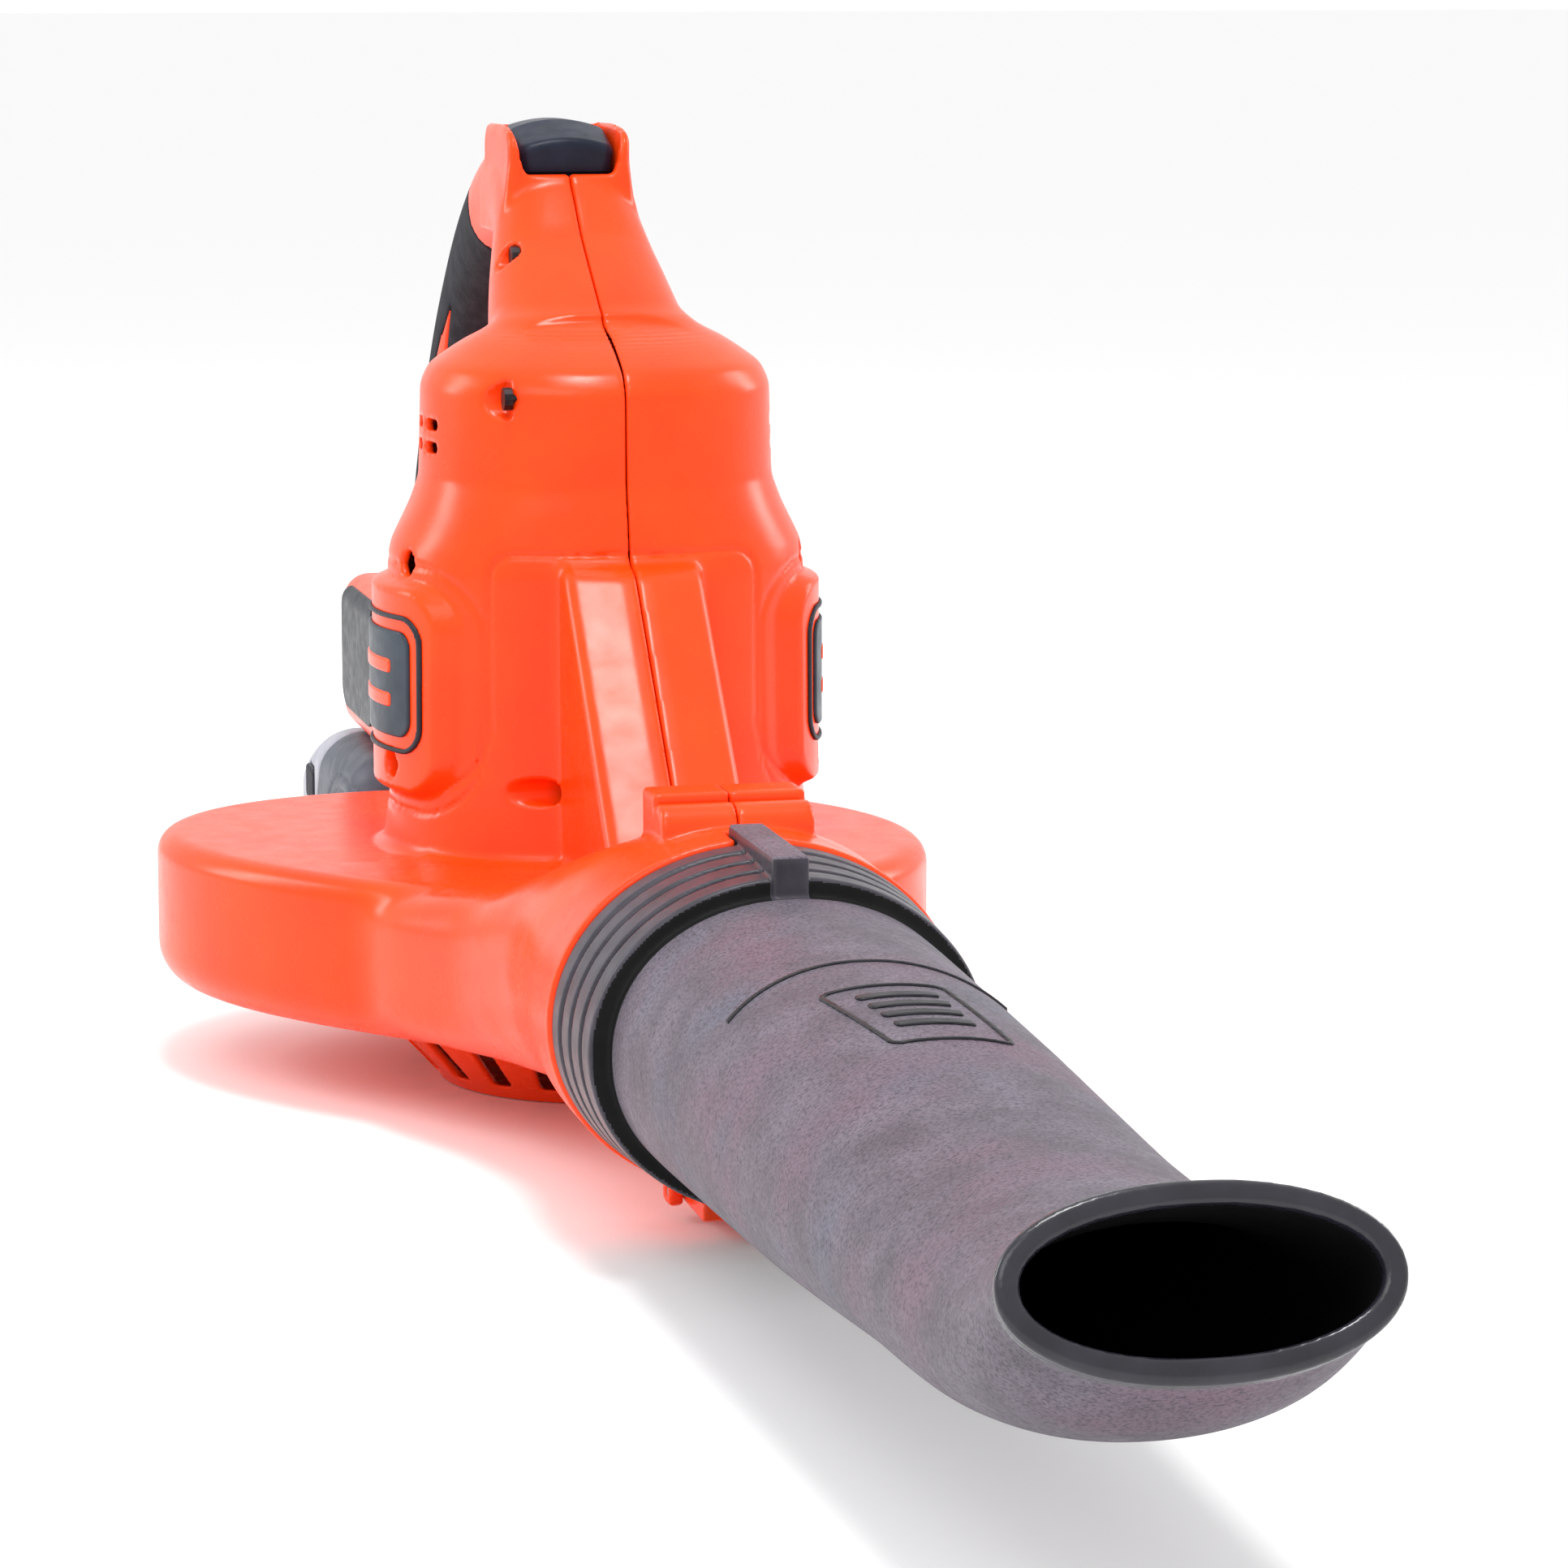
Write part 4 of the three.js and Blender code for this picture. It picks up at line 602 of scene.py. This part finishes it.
class Finish:
    """A node material with a Principled shader and helpers for grain and colour variation."""

    def __init__(self, name, color, roughness, metallic=0.0, coat=0.0, specular=0.5):
        self.material = bpy.data.materials.new(name)
        self.material.use_nodes = True
        self.tree = self.material.node_tree
        self.shader = self.tree.nodes["Principled BSDF"]
        self.shader.inputs["Base Color"].default_value = (*color, 1)
        self.shader.inputs["Roughness"].default_value = roughness
        self.shader.inputs["Metallic"].default_value = metallic
        self.shader.inputs["Coat Weight"].default_value = coat
        self.shader.inputs["Specular IOR Level"].default_value = specular
        self.place = self.tree.nodes.new("ShaderNodeTexCoord").outputs["Object"]

    def node(self, kind, **values):
        made = self.tree.nodes.new(kind)
        for key, value in values.items():
            if hasattr(made, key):
                setattr(made, key, value)
            else:
                made.inputs[key.replace("_", " ")].default_value = value
        return made

    def link(self, out, target):
        self.tree.links.new(out, target)

    def noise(self, size, detail=3.0, roughness=0.55):
        """Noise whose features are about a given size in millimetres."""
        made = self.node("ShaderNodeTexNoise", Scale=1 / (size * MM), Detail=detail, Roughness=roughness)
        self.link(self.place, made.inputs["Vector"])
        return made.outputs["Fac"]

    def vary(self, color, other, size, low=0.35, high=0.65, detail=3.0):
        """Mixes two colours by noise."""
        return self.mix(self.ramp(self.noise(size, detail), low, high), color, other)

    def ramp(self, value, low, high, to_low=0.0, to_high=1.0):
        made = self.node("ShaderNodeMapRange")
        made.inputs["From Min"].default_value = low
        made.inputs["From Max"].default_value = high
        made.inputs["To Min"].default_value = to_low
        made.inputs["To Max"].default_value = to_high
        self.link(value, made.inputs["Value"])
        return made.outputs["Result"]

    def mix(self, share, color, other):
        made = self.node("ShaderNodeMix", data_type="RGBA")
        for socket, value in ((6, color), (7, other)):
            if hasattr(value, "links"):
                self.link(value, made.inputs[socket])
            else:
                made.inputs[socket].default_value = (*value, 1)
        self.link(share, made.inputs[0])
        return made.outputs[2]

    def color(self, out):
        self.link(out, self.shader.inputs["Base Color"])
        return self

    def roughness(self, out):
        self.link(out, self.shader.inputs["Roughness"])
        return self

    def bump(self, height, depth, strength=1.0):
        """A bump of a given depth in millimetres."""
        made = self.node("ShaderNodeBump", Strength=strength, Distance=depth * MM)
        self.link(height, made.inputs["Height"])
        if self.shader.inputs["Normal"].links:
            self.link(self.shader.inputs["Normal"].links[0].from_socket, made.inputs["Normal"])
        self.link(made.outputs["Normal"], self.shader.inputs["Normal"])
        return self


def orange_plastic():
    made = Finish("orange moulded plastic", srgb(248, 62, 8), 0.26, specular=0.26)
    made.color(made.vary(srgb(246, 60, 6), srgb(250, 70, 12), 38, 0.3, 0.7))
    made.roughness(made.ramp(made.noise(9, 4), 0.3, 0.7, 0.22, 0.3))
    made.bump(made.noise(0.55, 2), 0.012)
    made.bump(made.noise(30, 2), 0.10, 0.25)
    return made.material


def tube_plastic():
    made = Finish("mottled grey plastic", srgb(100, 94, 103), 0.56, specular=0.18)
    base = made.vary(srgb(90, 83, 92), srgb(112, 104, 116), 20, 0.32, 0.68, 4)
    tint = made.mix(made.ramp(made.noise(46, 2), 0.5, 0.72), base, srgb(112, 92, 106))
    cool = made.mix(made.ramp(made.noise(40, 2, 0.4), 0.56, 0.8), tint, srgb(92, 94, 108))
    speck = made.mix(made.ramp(made.noise(0.9, 2), 0.42, 0.75), cool, srgb(62, 58, 65))
    made.color(speck)
    made.roughness(made.ramp(made.noise(3, 4), 0.3, 0.7, 0.46, 0.6))
    made.bump(made.noise(0.7, 3), 0.035)
    return made.material


def plain_plastic(name, color, other, roughness, grain=0.7, depth=0.015, coat=0.0, specular=0.22):
    made = Finish(name, color, roughness, coat=coat, specular=specular)
    made.color(made.vary(color, other, 11))
    made.roughness(made.ramp(made.noise(5, 3), 0.3, 0.7, roughness - 0.05, roughness + 0.06))
    made.bump(made.noise(grain, 2), depth)
    return made.material


def rubber():
    made = Finish("moulded rubber", srgb(38, 39, 44), 0.72, specular=0.15)
    made.color(made.vary(srgb(32, 33, 38), srgb(46, 47, 52), 6))
    cells = made.node("ShaderNodeTexVoronoi", Scale=1 / (1.6 * MM))
    made.link(made.place, cells.inputs["Vector"])
    made.bump(cells.outputs["Distance"], 0.12)
    made.bump(made.noise(0.5, 2), 0.02)
    return made.material


def metal(name, color, other, roughness):
    made = Finish(name, color, roughness, metallic=1.0)
    made.color(made.vary(color, other, 4))
    made.roughness(made.ramp(made.noise(2, 4), 0.3, 0.7, roughness - 0.08, roughness + 0.1))
    made.bump(made.noise(0.4, 2), 0.006)
    return made.material


ORANGE = orange_plastic()
GREY = tube_plastic()
RIM = plain_plastic("glossy dark rim", srgb(28, 27, 34), srgb(38, 37, 46), 0.24, 0.8, 0.012, 0.1, 0.4)
RIBS = plain_plastic("dark grey rib plastic", srgb(54, 51, 58), srgb(66, 62, 71), 0.34, 0.7, 0.02)
# Near-black colour that paints the shade in the tube's bore and in the collar's groove bottoms.
SHADE = plain_plastic("painted shade in bore and grooves", srgb(8, 8, 9), srgb(14, 14, 16), 0.7, 0.7, 0.02)
BLACK = plain_plastic("black moulded plastic", srgb(26, 28, 35), srgb(36, 39, 48), 0.4, 0.6, 0.02)
GLOSS = plain_plastic("gloss black label", srgb(28, 32, 38), srgb(34, 38, 46), 0.3, 3.0, 0.004, 0.0, 0.06)
INK = plain_plastic("dark raised lines", srgb(26, 26, 30), srgb(34, 34, 40), 0.4, 0.7, 0.01)
NAVY = plain_plastic("button plastic", srgb(24, 29, 42), srgb(32, 38, 54), 0.36, 0.5, 0.02, 0.0, 0.15)
PLATE = plain_plastic("badge plate", srgb(46, 56, 66), srgb(56, 66, 76), 0.34, 0.5, 0.01, 0.0, 0.15)
LIGHT_GREY = plain_plastic("pale battery plastic", srgb(146, 148, 158), srgb(164, 164, 174), 0.4)
DARK_GREY = plain_plastic("dark battery plastic", srgb(66, 70, 80), srgb(82, 86, 96), 0.45)
RUBBER = rubber()
# Screw steel: dark, and darkened further in a reddish tone to paint the shade in the screws' recesses.
DARK_STEEL_AND_RECESS_SHADE = metal("dark steel with painted recess shade", srgb(46, 40, 42), srgb(60, 52, 54), 0.45)
STEEL = metal("zinc plated steel", srgb(178, 180, 184), srgb(150, 152, 158), 0.32)
COPPER = metal("copper winding", srgb(184, 112, 66), srgb(150, 86, 50), 0.38)
MAGNET = plain_plastic("sintered magnet", srgb(56, 56, 60), srgb(70, 70, 74), 0.6)
BOARD = plain_plastic("circuit board", srgb(28, 88, 54), srgb(36, 104, 64), 0.45)
CELL = plain_plastic("cell wrap", srgb(40, 88, 150), srgb(52, 104, 168), 0.35)
WIRE = plain_plastic("lead insulation", srgb(150, 32, 30), srgb(176, 44, 40), 0.5)
SLOT_MATERIALS = {"orange_plastic": ORANGE, "grey_plastic": GREY, "black_plastic": BLACK,
                  "black_rubber": RUBBER, "steel": STEEL, "copper": COPPER, "magnet": MAGNET,
                  "board": BOARD, "cell_wrap": CELL, "wire": WIRE}

for part in frame["record"]["subparts"]:
    materials = frame["nodes"][part["node"]].data.materials
    materials.clear()
    # Screws take the dark steel, whose colour partly paints the shade in their recesses.
    screw = "screw_" in part["node"]
    materials.append(DARK_STEEL_AND_RECESS_SHADE if screw else SLOT_MATERIALS[part["material_slot"]])


def place(piece, body, slot, material, *replaced):
    """Gives a piece its material and body, and hides the CAD nodes that it stands for. The slot argument is
    not used.
    """
    if material is not None:
        piece.data.materials.append(material)
    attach(piece, body)
    if replaced:
        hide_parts(*replaced)
    return piece


# ---------------------------------------------------------------- pieces

place(casing_half(-1).mesh("casing_left_shell"), "casing", "orange_plastic", ORANGE, "casing_left")
place(casing_half(1).mesh("casing_right_shell"), "casing", "orange_plastic", ORANGE, "casing_right")

def piece(name, low, high, shape, body, slot, material, *replaced, step=FINE, smooth=2):
    """Meshes one shape in a box and places it."""
    field = Field(low, high, step)
    _, (x, y, z) = field.window([-1e4] * 3, [1e4] * 3)
    field.d = shape(x, y, z).astype(np.float32)
    return place(field.mesh(name, smooth), body, slot, material, *replaced)


def side_box(side, near, far, low, high):
    """The corners of a box on one side of the middle, each of low and high being a (y, z) pair."""
    ends = sorted([side * near, side * far])
    return [ends[0], *low], [ends[1], *high]


# ---------------------------------------------------------------- blow tube

tube_sweep = Sweep(TUBE, 2.1)
SPIGOT = {"rear": -198.0, "half_x": 53.8, "half_z": 45.3}
COLLAR = {"start": -225.6, "length": 44.0, "ribs": 4, "half_x": 57.0, "half_z": 48.5, "taper": 2.7,
          "groove": 2.8}


def collar_shrink(y):
    """How far the ribbed ring stands in from its full size."""
    along = (COLLAR["start"] - y) / COLLAR["length"]
    edge = np.abs(((along * COLLAR["ribs"]) % 1) - 0.37) - 0.37
    return COLLAR["taper"] * np.clip(along, 0, 1) + np.clip(edge * 14, 0, 1) * COLLAR["groove"]


def collar(x, y, z):
    """The ribbed grip ring behind the tube's root, with the spigot behind it."""
    shrink = collar_shrink(y)
    ring = oval(x, z - SOCKET["z"], COLLAR["half_x"] - shrink, COLLAR["half_z"] - shrink, 2.0)
    ring = round_max(ring, slab(y, COLLAR["start"] - COLLAR["length"] + 2.5, COLLAR["start"]) + 0 * ring, 1.0)
    seat = np.clip(2.6 - np.abs(y + 205.5), 0, 0.4) / 0.4 * 1.6
    spigot = oval(x, z - SOCKET["z"], SPIGOT["half_x"] - seat, SPIGOT["half_z"] - seat, 2.0)
    spigot = round_max(spigot, slab(y, -232, SPIGOT["rear"]) + 0 * spigot, 1.5)
    return np.minimum(ring, spigot)


def mouth_plane(y, z):
    """Distance past the plane that the tube's mouth lies in."""
    return -(y - MOUTH["y"]) * math.cos(MOUTH["pitch"]) + (z - MOUTH["z"]) * math.sin(MOUTH["pitch"])


def tube_skin(x, y, z, located):
    """The outside of the tube, with a swollen lip at its mouth."""
    lip = np.exp(-(mouth_plane(y, z) / 4.5) ** 2) * 1.4
    return tube_sweep.distance(x, y, z, 0.0, located) - lip


def tube_shape(x, y, z):
    located = tube_sweep.locate(y, z)
    beyond = mouth_plane(y, z)
    inner = tube_sweep.distance(x, y, z, -WALL, located) + np.clip(beyond + 9, 0, 9) / 9 * 1.6
    whole = soft_min(np.maximum(tube_skin(x, y, z, located), y + 231), collar(x, y, z), 0.6)
    lug = round_max(card(x, z, -5, 5, 100, 114, 1.0) + 0 * y, slab(y, -269, -213) + 0 * (x + z), 1.0)
    whole = soft_min(whole, lug, 0.4)
    bore = np.where(y > -236, np.maximum(oval(x, z - SOCKET["z"], 49.0, 40.6, 2.0), inner), inner)
    whole = round_max(whole, -bore, 0.8)
    whole = round_max(whole, beyond + 0 * x, 2.2)
    notch = np.maximum(np.abs(x) - 6, np.maximum(slab(y, -224, -211), slab(z, 10, 23)))
    return np.maximum(whole, -notch)


def blow_tube():
    step = 0.8
    made = piece("blow_tube_shell", [-61, -646, 9], [61, -194, 118], tube_shape, "tube", "grey_plastic", GREY,
                 "blow_tube", step=step, smooth=1)
    for material in (RIM, RIBS, SHADE):
        made.data.materials.append(material)
    middles = np.empty(len(made.data.polygons) * 3, dtype=np.float32)
    made.data.polygons.foreach_get("center", middles)
    x, y, z = middles.reshape(-1, 3).T / MM
    index = np.zeros(len(x), dtype=np.int32)
    located = tube_sweep.locate(y, z)
    root = y > -270.5
    index[root] = 2
    ring = oval(x, z - SOCKET["z"], COLLAR["half_x"], COLLAR["half_z"], 2.0)
    # Index 3 is painted shade: the collar's groove bottoms, the bore's inside and the band just within the
    # mouth are coloured near-black where shade falls.
    groove = root & (y < -226) & (ring < -3.4) & (collar_shrink(y) > 2.4)
    index[groove & (np.abs(x) > 5.3)] = 3
    lug_top = (np.abs(x) < 5.2) & (z > 113.4) & (y < -212)
    index[lug_top] = 0
    inside = (tube_sweep.distance(x, y, z, 0.0, located) < -1.6) & (y < -232) & (mouth_plane(y, z) < -3)
    index[inside & (ring < -5)] = 3
    index[mouth_plane(y, z) > -5.5] = 1
    index[(mouth_plane(y, z) > -5.5) & (mouth_plane(y, z) < -1.5) & inside] = 3
    made.data.polygons.foreach_set("material_index", index)


def tube_marks(x, y, z):
    """Fine raised lines on top of the tube: an arc, a plain frame and bars inside it."""
    skin = np.abs(tube_skin(x, y, z, tube_sweep.locate(y, z)) - 0.1) - 0.5
    turn = np.arctan2(x, z - SOCKET["z"]) * 38.0
    arc = np.maximum(np.abs(np.hypot(turn * 0.42, y + 366) - 20.0) - 0.7, -362 - y)
    edge = card(turn + (y + 395) * 0.1, y, -15, 17, -424, -372, 3.0)
    frame = np.abs(edge) - 0.75
    bars = FAR
    for middle in (-382, -391, -400, -409):
        bars = np.minimum(bars, card(turn + (y + 395) * 0.1, y, -9, 12, middle - 2.2, middle + 2.2, 1.2))
    return np.maximum(skin, np.minimum(np.minimum(arc, frame), bars))


blow_tube()
piece("tube_marks", [-36, -432, 80], [36, -338, 108], tube_marks, "tube", "black_plastic", INK)

# ---------------------------------------------------------------- tube latch


def tube_latch(x, y, z):
    lever = polygon(y, z, [(-227, 6), (-225, 5), (-194.6, 5), (-194.6, 9.2), (-201, 10.4), (-227, 10.6)])
    lever = round_max(lever + 0 * x, np.abs(x) - 15 + 0 * (y + z), 1.0)
    tooth = np.maximum(np.abs(x) - 5, np.maximum(slab(y, -221, -215), slab(z, 9, 13.2)))
    ribs = np.maximum(slab(np.abs(x), 2.5, 4.0), np.maximum(slab(y, -225, -206), slab(z, 4.2, 8)))
    whole = np.minimum(np.minimum(lever, tooth), ribs)
    return np.maximum(whole, 1.8 - rod_x(y, z, (-198, 7.6), 0.0))


piece("tube_latch_lever", [-17, -229, 3], [17, -192, 15], tube_latch, "latch", "orange_plastic", ORANGE,
      "tube_latch")

# ---------------------------------------------------------------- top button, trigger and grips


def top_button(x, y, z):
    crown = 297.8 - 3.4 * (x / 16) ** 2 - 0.30 * np.maximum(0, 64 - y)
    ledge = 0.9 * (z < 281.5)
    ends = slab(y, 46.0 - 0.22 * (z - 284), 82.0) + 0 * x
    side = round_max(np.abs(x) - button_half(z) + 0 * y, ends, 4.0) + ledge
    block = round_max(side, z - crown, 2.6)
    room = round_max(np.abs(x) - 12.4, slab(y, 49.5, 79), 2.0)
    return np.maximum(np.maximum(block, 274 - z), -np.maximum(room, z - 281.2))


def hand_trigger(x, y, z):
    middle = int(0.5 * (len(handle_sweep.place) - 1))
    centre, tangent = handle_sweep.centre[middle], handle_sweep.tangent[middle]
    u = (y - centre[0]) * tangent[0] + (z - centre[1]) * tangent[1]
    w = (y - centre[0]) * tangent[1] - (z - centre[1]) * tangent[0]
    block = polygon(u, w, [(-24, 3.5), (20, 3.5), (20, 24.5), (-6, 25.5), (-17, 21), (-24, 13)])
    tip = np.hypot(u - 16.6, w - 23.4) - 3.2
    scoop = np.hypot(u - 3, w - 44) - 20.2
    side = soft_min(np.maximum(block, -scoop), tip, 1.5)
    whole = round_max(side + 0 * x, np.abs(x) - 8 + 0 * side, 1.6)
    return np.maximum(whole, 2.3 - np.hypot(u + 19, w - 7))


def grip(side):
    def shape(x, y, z):
        outer = handle_sweep.distance(x, y, z)
        inner = handle_sweep.distance(x, y, z, GAP - GRIP_DEPTH)
        shell = round_max(outer, sleeve_zone(x, y, z, 0.3), 0.7)
        shell = np.maximum(shell, -inner)
        return np.maximum(np.maximum(shell, 0.15 - side * x), -trigger_well(x, y, z))
    low, high = side_box(side, -1, 24, (85, 128), (236, 296))
    word = "left" if side < 0 else "right"
    piece(f"grip_sleeve_{word}", low, high, shape, "casing", "black_rubber", RUBBER, f"grip_{word}",
          step=FINE + 0.1)


piece("top_button_cap", [-18, 40, 272], [18, 84, 300], top_button, "button", "black_plastic", NAVY,
      "top_button")
piece("trigger_lever", [-10, 96, 226], [10, 156, 272], hand_trigger, "trigger", "black_plastic", BLACK,
      "trigger")

# ---------------------------------------------------------------- badges and labels


def badge_parts(side):
    word = "left" if side < 0 else "right"
    low, high = side_box(side, 40, 75, (-34, 104), (34, 153))

    def on_face(outline, proud):
        return lambda x, y, z: round_max(np.abs(boss_face(x, y, z) - proud / 2) - 0.1 - proud / 2,
                                         outline(y, z) + 0 * x, 0.3)

    def ring(y, z):
        return np.abs(card(y, z, -31, 31, 107, 150, 9.0) + 0.8) - 0.8

    def plate(y, z):
        return card(y, z, -26, 26, 112, 145, 5.5)

    def bars(y, z):
        return np.minimum(card(y, z, -17, 17, 131.5, 136.0, 1.5), card(y, z, -17, 17, 121.0, 125.5, 1.5))

    piece(f"badge_plate_{word}", low, high, on_face(plate, 0.9), "casing", "grey_plastic", PLATE,
          f"badge_{word}")
    piece(f"badge_ring_{word}", low, high, on_face(ring, 0.9), "casing", "black_plastic", BLACK)
    piece(f"badge_bars_{word}", low, high, on_face(bars, 1.3), "casing", "orange_plastic", ORANGE)


def side_label(side):
    def shape(x, y, z):
        outline = card(y, z, 163, 237, 86.5, 130, 13.0)
        return round_max(np.abs(foot(x, y, z) - 0.5) - 0.5, outline + 0 * x, 0.4)
    low, high = side_box(side, 34, 50, (160, 82), (242, 133))
    word = "left" if side < 0 else "right"
    piece(f"side_label_{word}", low, high, shape, "casing", "black_plastic", GLOSS, f"rear_label_{word}")


# ---------------------------------------------------------------- battery

PACK = {"half_x": 54.0, "front": 165.0, "rear": 306.0, "split": 40.0, "top": 77.0, "corner": 16.0}


def pack_shape(x, y, z, inset=0.0):
    """The battery's outside: a rounded block whose top falls away to the rear."""
    plan = card(x, y, -PACK["half_x"], PACK["half_x"], PACK["front"], PACK["rear"], PACK["corner"])
    back = np.clip((y - 222) / 88, 0, 1)
    top = PACK["top"] - 34 * (1 - np.sqrt(1 - back ** 2 * 0.96))
    return round_max(round_max(plan + 0 * z, (z - top) * 0.96 + 0 * x, 15.0), -z + 0 * plan, 5.0) + inset


def pack_ribs(x, y, z):
    """Curved ribs low on each side of the pack, and the line where its end cap begins."""
    cap = np.abs(np.hypot(y - 190, z - 20) - 72.0)
    ribs = np.minimum(np.abs(np.hypot(y - 190, z - 10) - 52), np.abs(np.hypot(y - 190, z - 10) - 57))
    return np.minimum(cap, ribs) + 0 * x


def upper_pack(x, y, z):
    shell = np.maximum(pack_shape(x, y, z), -pack_shape(x, y, z, 2.6))
    groove = np.maximum(pack_ribs(x, y, z) - 0.7, -pack_shape(x, y, z) - 0.8)
    shell = soft_max(shell, -np.maximum(groove, 40 - np.abs(x)), 0.4)
    shell = round_max(shell, PACK["split"] + 0.15 - z + 0 * shell, 0.8)
    tower = round_max(slab(y, 178, 262) + 0 * z, z - 83 + 0 * y, 1.0)
    tower = round_max(tower + 0 * x, np.abs(x) - 24 + 0 * y, 1.0)
    throat = np.maximum(np.maximum(np.abs(x) - 21.4, slab(y, 170, 259.4)), slab(z, 60, 80))
    tower = np.maximum(np.maximum(tower, 73 - z), -throat)
    slots = np.maximum(np.minimum(np.abs(x), np.abs(np.abs(x) - 14)) - 1.2,
                       np.maximum(slab(y, 170, 194), slab(z, 76, 87)))
    hole = np.maximum(card(y, z, 260.5, 279.5, 46.5, 59.5, 2.0) + 0 * x, 44 - np.abs(x))
    whole = np.minimum(np.maximum(shell, -throat), tower)
    return np.maximum(np.maximum(whole, -slots), -hole)


def lower_pack(x, y, z):
    shell = np.maximum(pack_shape(x, y, z), -pack_shape(x, y, z, 2.6))
    return round_max(shell, z - PACK["split"] + 0.15 + 0 * shell, 0.8)


def release(side):
    def shape(x, y, z):
        face = card(y, z, 261, 279, 47, 59, 2.0)
        grooves = np.maximum(np.abs(((y - 270) % 3.0) - 1.5) - 0.5, 54.2 - side * x)
        block = round_max(face + 0 * x, slab(side * x, 45, 54.8) + 0 * face, 1.0)
        return soft_max(block, -grooves, 0.3)
    low, high = side_box(side, 43, 57, (259, 45), (281, 61))
    word = "left" if side < 0 else "right"
    piece(f"release_{word}", low, high, shape, f"release_{word}", "black_plastic", BLACK,
          f"battery_release_{word}")


def two_tone(made):
    """The pack's rear cap is paler than its sides."""
    made.data.materials.append(LIGHT_GREY)
    middles = np.empty(len(made.data.polygons) * 3, dtype=np.float32)
    made.data.polygons.foreach_get("center", middles)
    _, y, z = middles.reshape(-1, 3).T / MM
    made.data.polygons.foreach_set("material_index", (np.hypot(y - 190, z - 20) > 72).astype(np.int32))


pack_box = [-57, 162, -2], [57, 309, 86]
two_tone(piece("pack_upper", *pack_box, upper_pack, "battery", "grey_plastic", DARK_GREY,
               "battery_shell_upper", step=VOXEL - 0.1))
piece("pack_lower", *pack_box, lower_pack, "battery", "black_plastic", BLACK, "battery_shell_lower",
      step=VOXEL - 0.1)

for one_side in (-1, 1):
    grip(one_side)
    badge_parts(one_side)
    side_label(one_side)
    release(one_side)

# ---------------------------------------------------------------- inlet guard


def inlet_guard(x, y, z):
    reach = np.hypot(x, y)
    wide = 51 + 19 * np.clip((z - 1.5) / 20.5, 0, 1)
    outer = round_max((reach - wide) * 0.75, slab(z, 0, 25.7) + 0 * reach, 1.6)
    inner = np.maximum((reach - wide + 3.4) * 0.75, 3.6 - z + 0 * reach)
    collar_ring = round_max(slab(reach, 56.5, 59.5), slab(z, 20, 30.7) + 0 * reach, 0.6)
    shell = np.minimum(np.maximum(outer, -inner), collar_ring)
    turn = np.arctan2(y, x) / (2 * math.pi)
    across = (((turn * 20) % 1) - 0.5) * 2 * math.pi / 20 * reach
    side_slots = round_max(np.abs(across) - 3.6, slab(z, 4.8, 18.5) + 0 * reach, 1.4)
    side_slots = round_max(side_slots, 46 - reach + 0 * z, 1.0)
    across = (((turn * 10 + 0.5) % 1) - 0.5) * 2 * math.pi / 10 * reach
    floor_slots = np.maximum(round_max(np.abs(across) - 3.25, slab(reach, 18, 44), 2.0), slab(z, -2, 5))
    return soft_max(shell, -np.minimum(side_slots, floor_slots), 0.6)


piece("inlet_guard_cone", [-72, -72, -1.5], [72, 72, 32], inlet_guard, "guard", "orange_plastic", ORANGE,
      "inlet_guard", step=FINE + 0.2)

# ---------------------------------------------------------------- floor, lights, camera


def stage():
    size = 30.0
    mesh = bpy.data.meshes.new("floor")
    corners = [(-size, -size, 0), (size, -size, 0), (size, size, 0), (-size, size, 0)]
    mesh.from_pydata(corners, [], [(0, 1, 2, 3)])
    floor = bpy.data.objects.new("floor", mesh)
    bpy.context.scene.collection.objects.link(floor)
    finish = Finish("pale floor", (0.93, 0.93, 0.93), 0.8, specular=0.1)
    mesh.materials.append(finish.material)


def area_light(name, location, target, size, power, color=(1, 1, 1)):
    data = bpy.data.lights.new(name, "AREA")
    data.shape = "RECTANGLE"
    data.size, data.size_y = size
    data.energy = power
    data.color = color
    light = bpy.data.objects.new(name, data)
    light.location = location
    light.rotation_mode = "QUATERNION"
    light.rotation_quaternion = (Vector(target) - Vector(location)).to_track_quat("-Z", "Y")
    bpy.context.scene.collection.objects.link(light)


def lights():
    target = (0, -0.1, 0.12)
    area_light("key", (-0.9, -1.3, 1.5), target, (1.2, 0.9), 9)
    area_light("left rim", (-1.5, 0.7, 0.8), target, (0.4, 1.0), 10)
    area_light("right rim", (1.5, 0.5, 0.8), target, (0.4, 1.0), 8)
    area_light("top", (-0.1, -0.4, 1.6), target, (0.35, 0.45), 13)
    world = bpy.data.worlds.new("studio")
    world.use_nodes = True
    world.node_tree.nodes["Background"].inputs["Color"].default_value = (1, 1, 1, 1)
    world.node_tree.nodes["Background"].inputs["Strength"].default_value = 1.02
    bpy.context.scene.world = world


def camera():
    azimuth, elevation = math.radians(-13), math.radians(9)
    back = Vector((math.sin(azimuth) * math.cos(elevation), -math.cos(azimuth) * math.cos(elevation),
                   math.sin(elevation)))
    aim = Vector((0.05700, -0.01317, 0.092))
    data = bpy.data.cameras.new("camera")
    data.sensor_width = 36.0
    data.lens = 6460 / 1932 * 36.0
    made = bpy.data.objects.new("camera", data)
    made.location = aim + back * 1.65
    made.rotation_mode = "QUATERNION"
    made.rotation_quaternion = (-back).to_track_quat("-Z", "Y")
    bpy.context.scene.collection.objects.link(made)
    bpy.context.scene.camera = made


camera()
lights()
stage()
bpy.context.scene.view_settings.view_transform = "Standard"
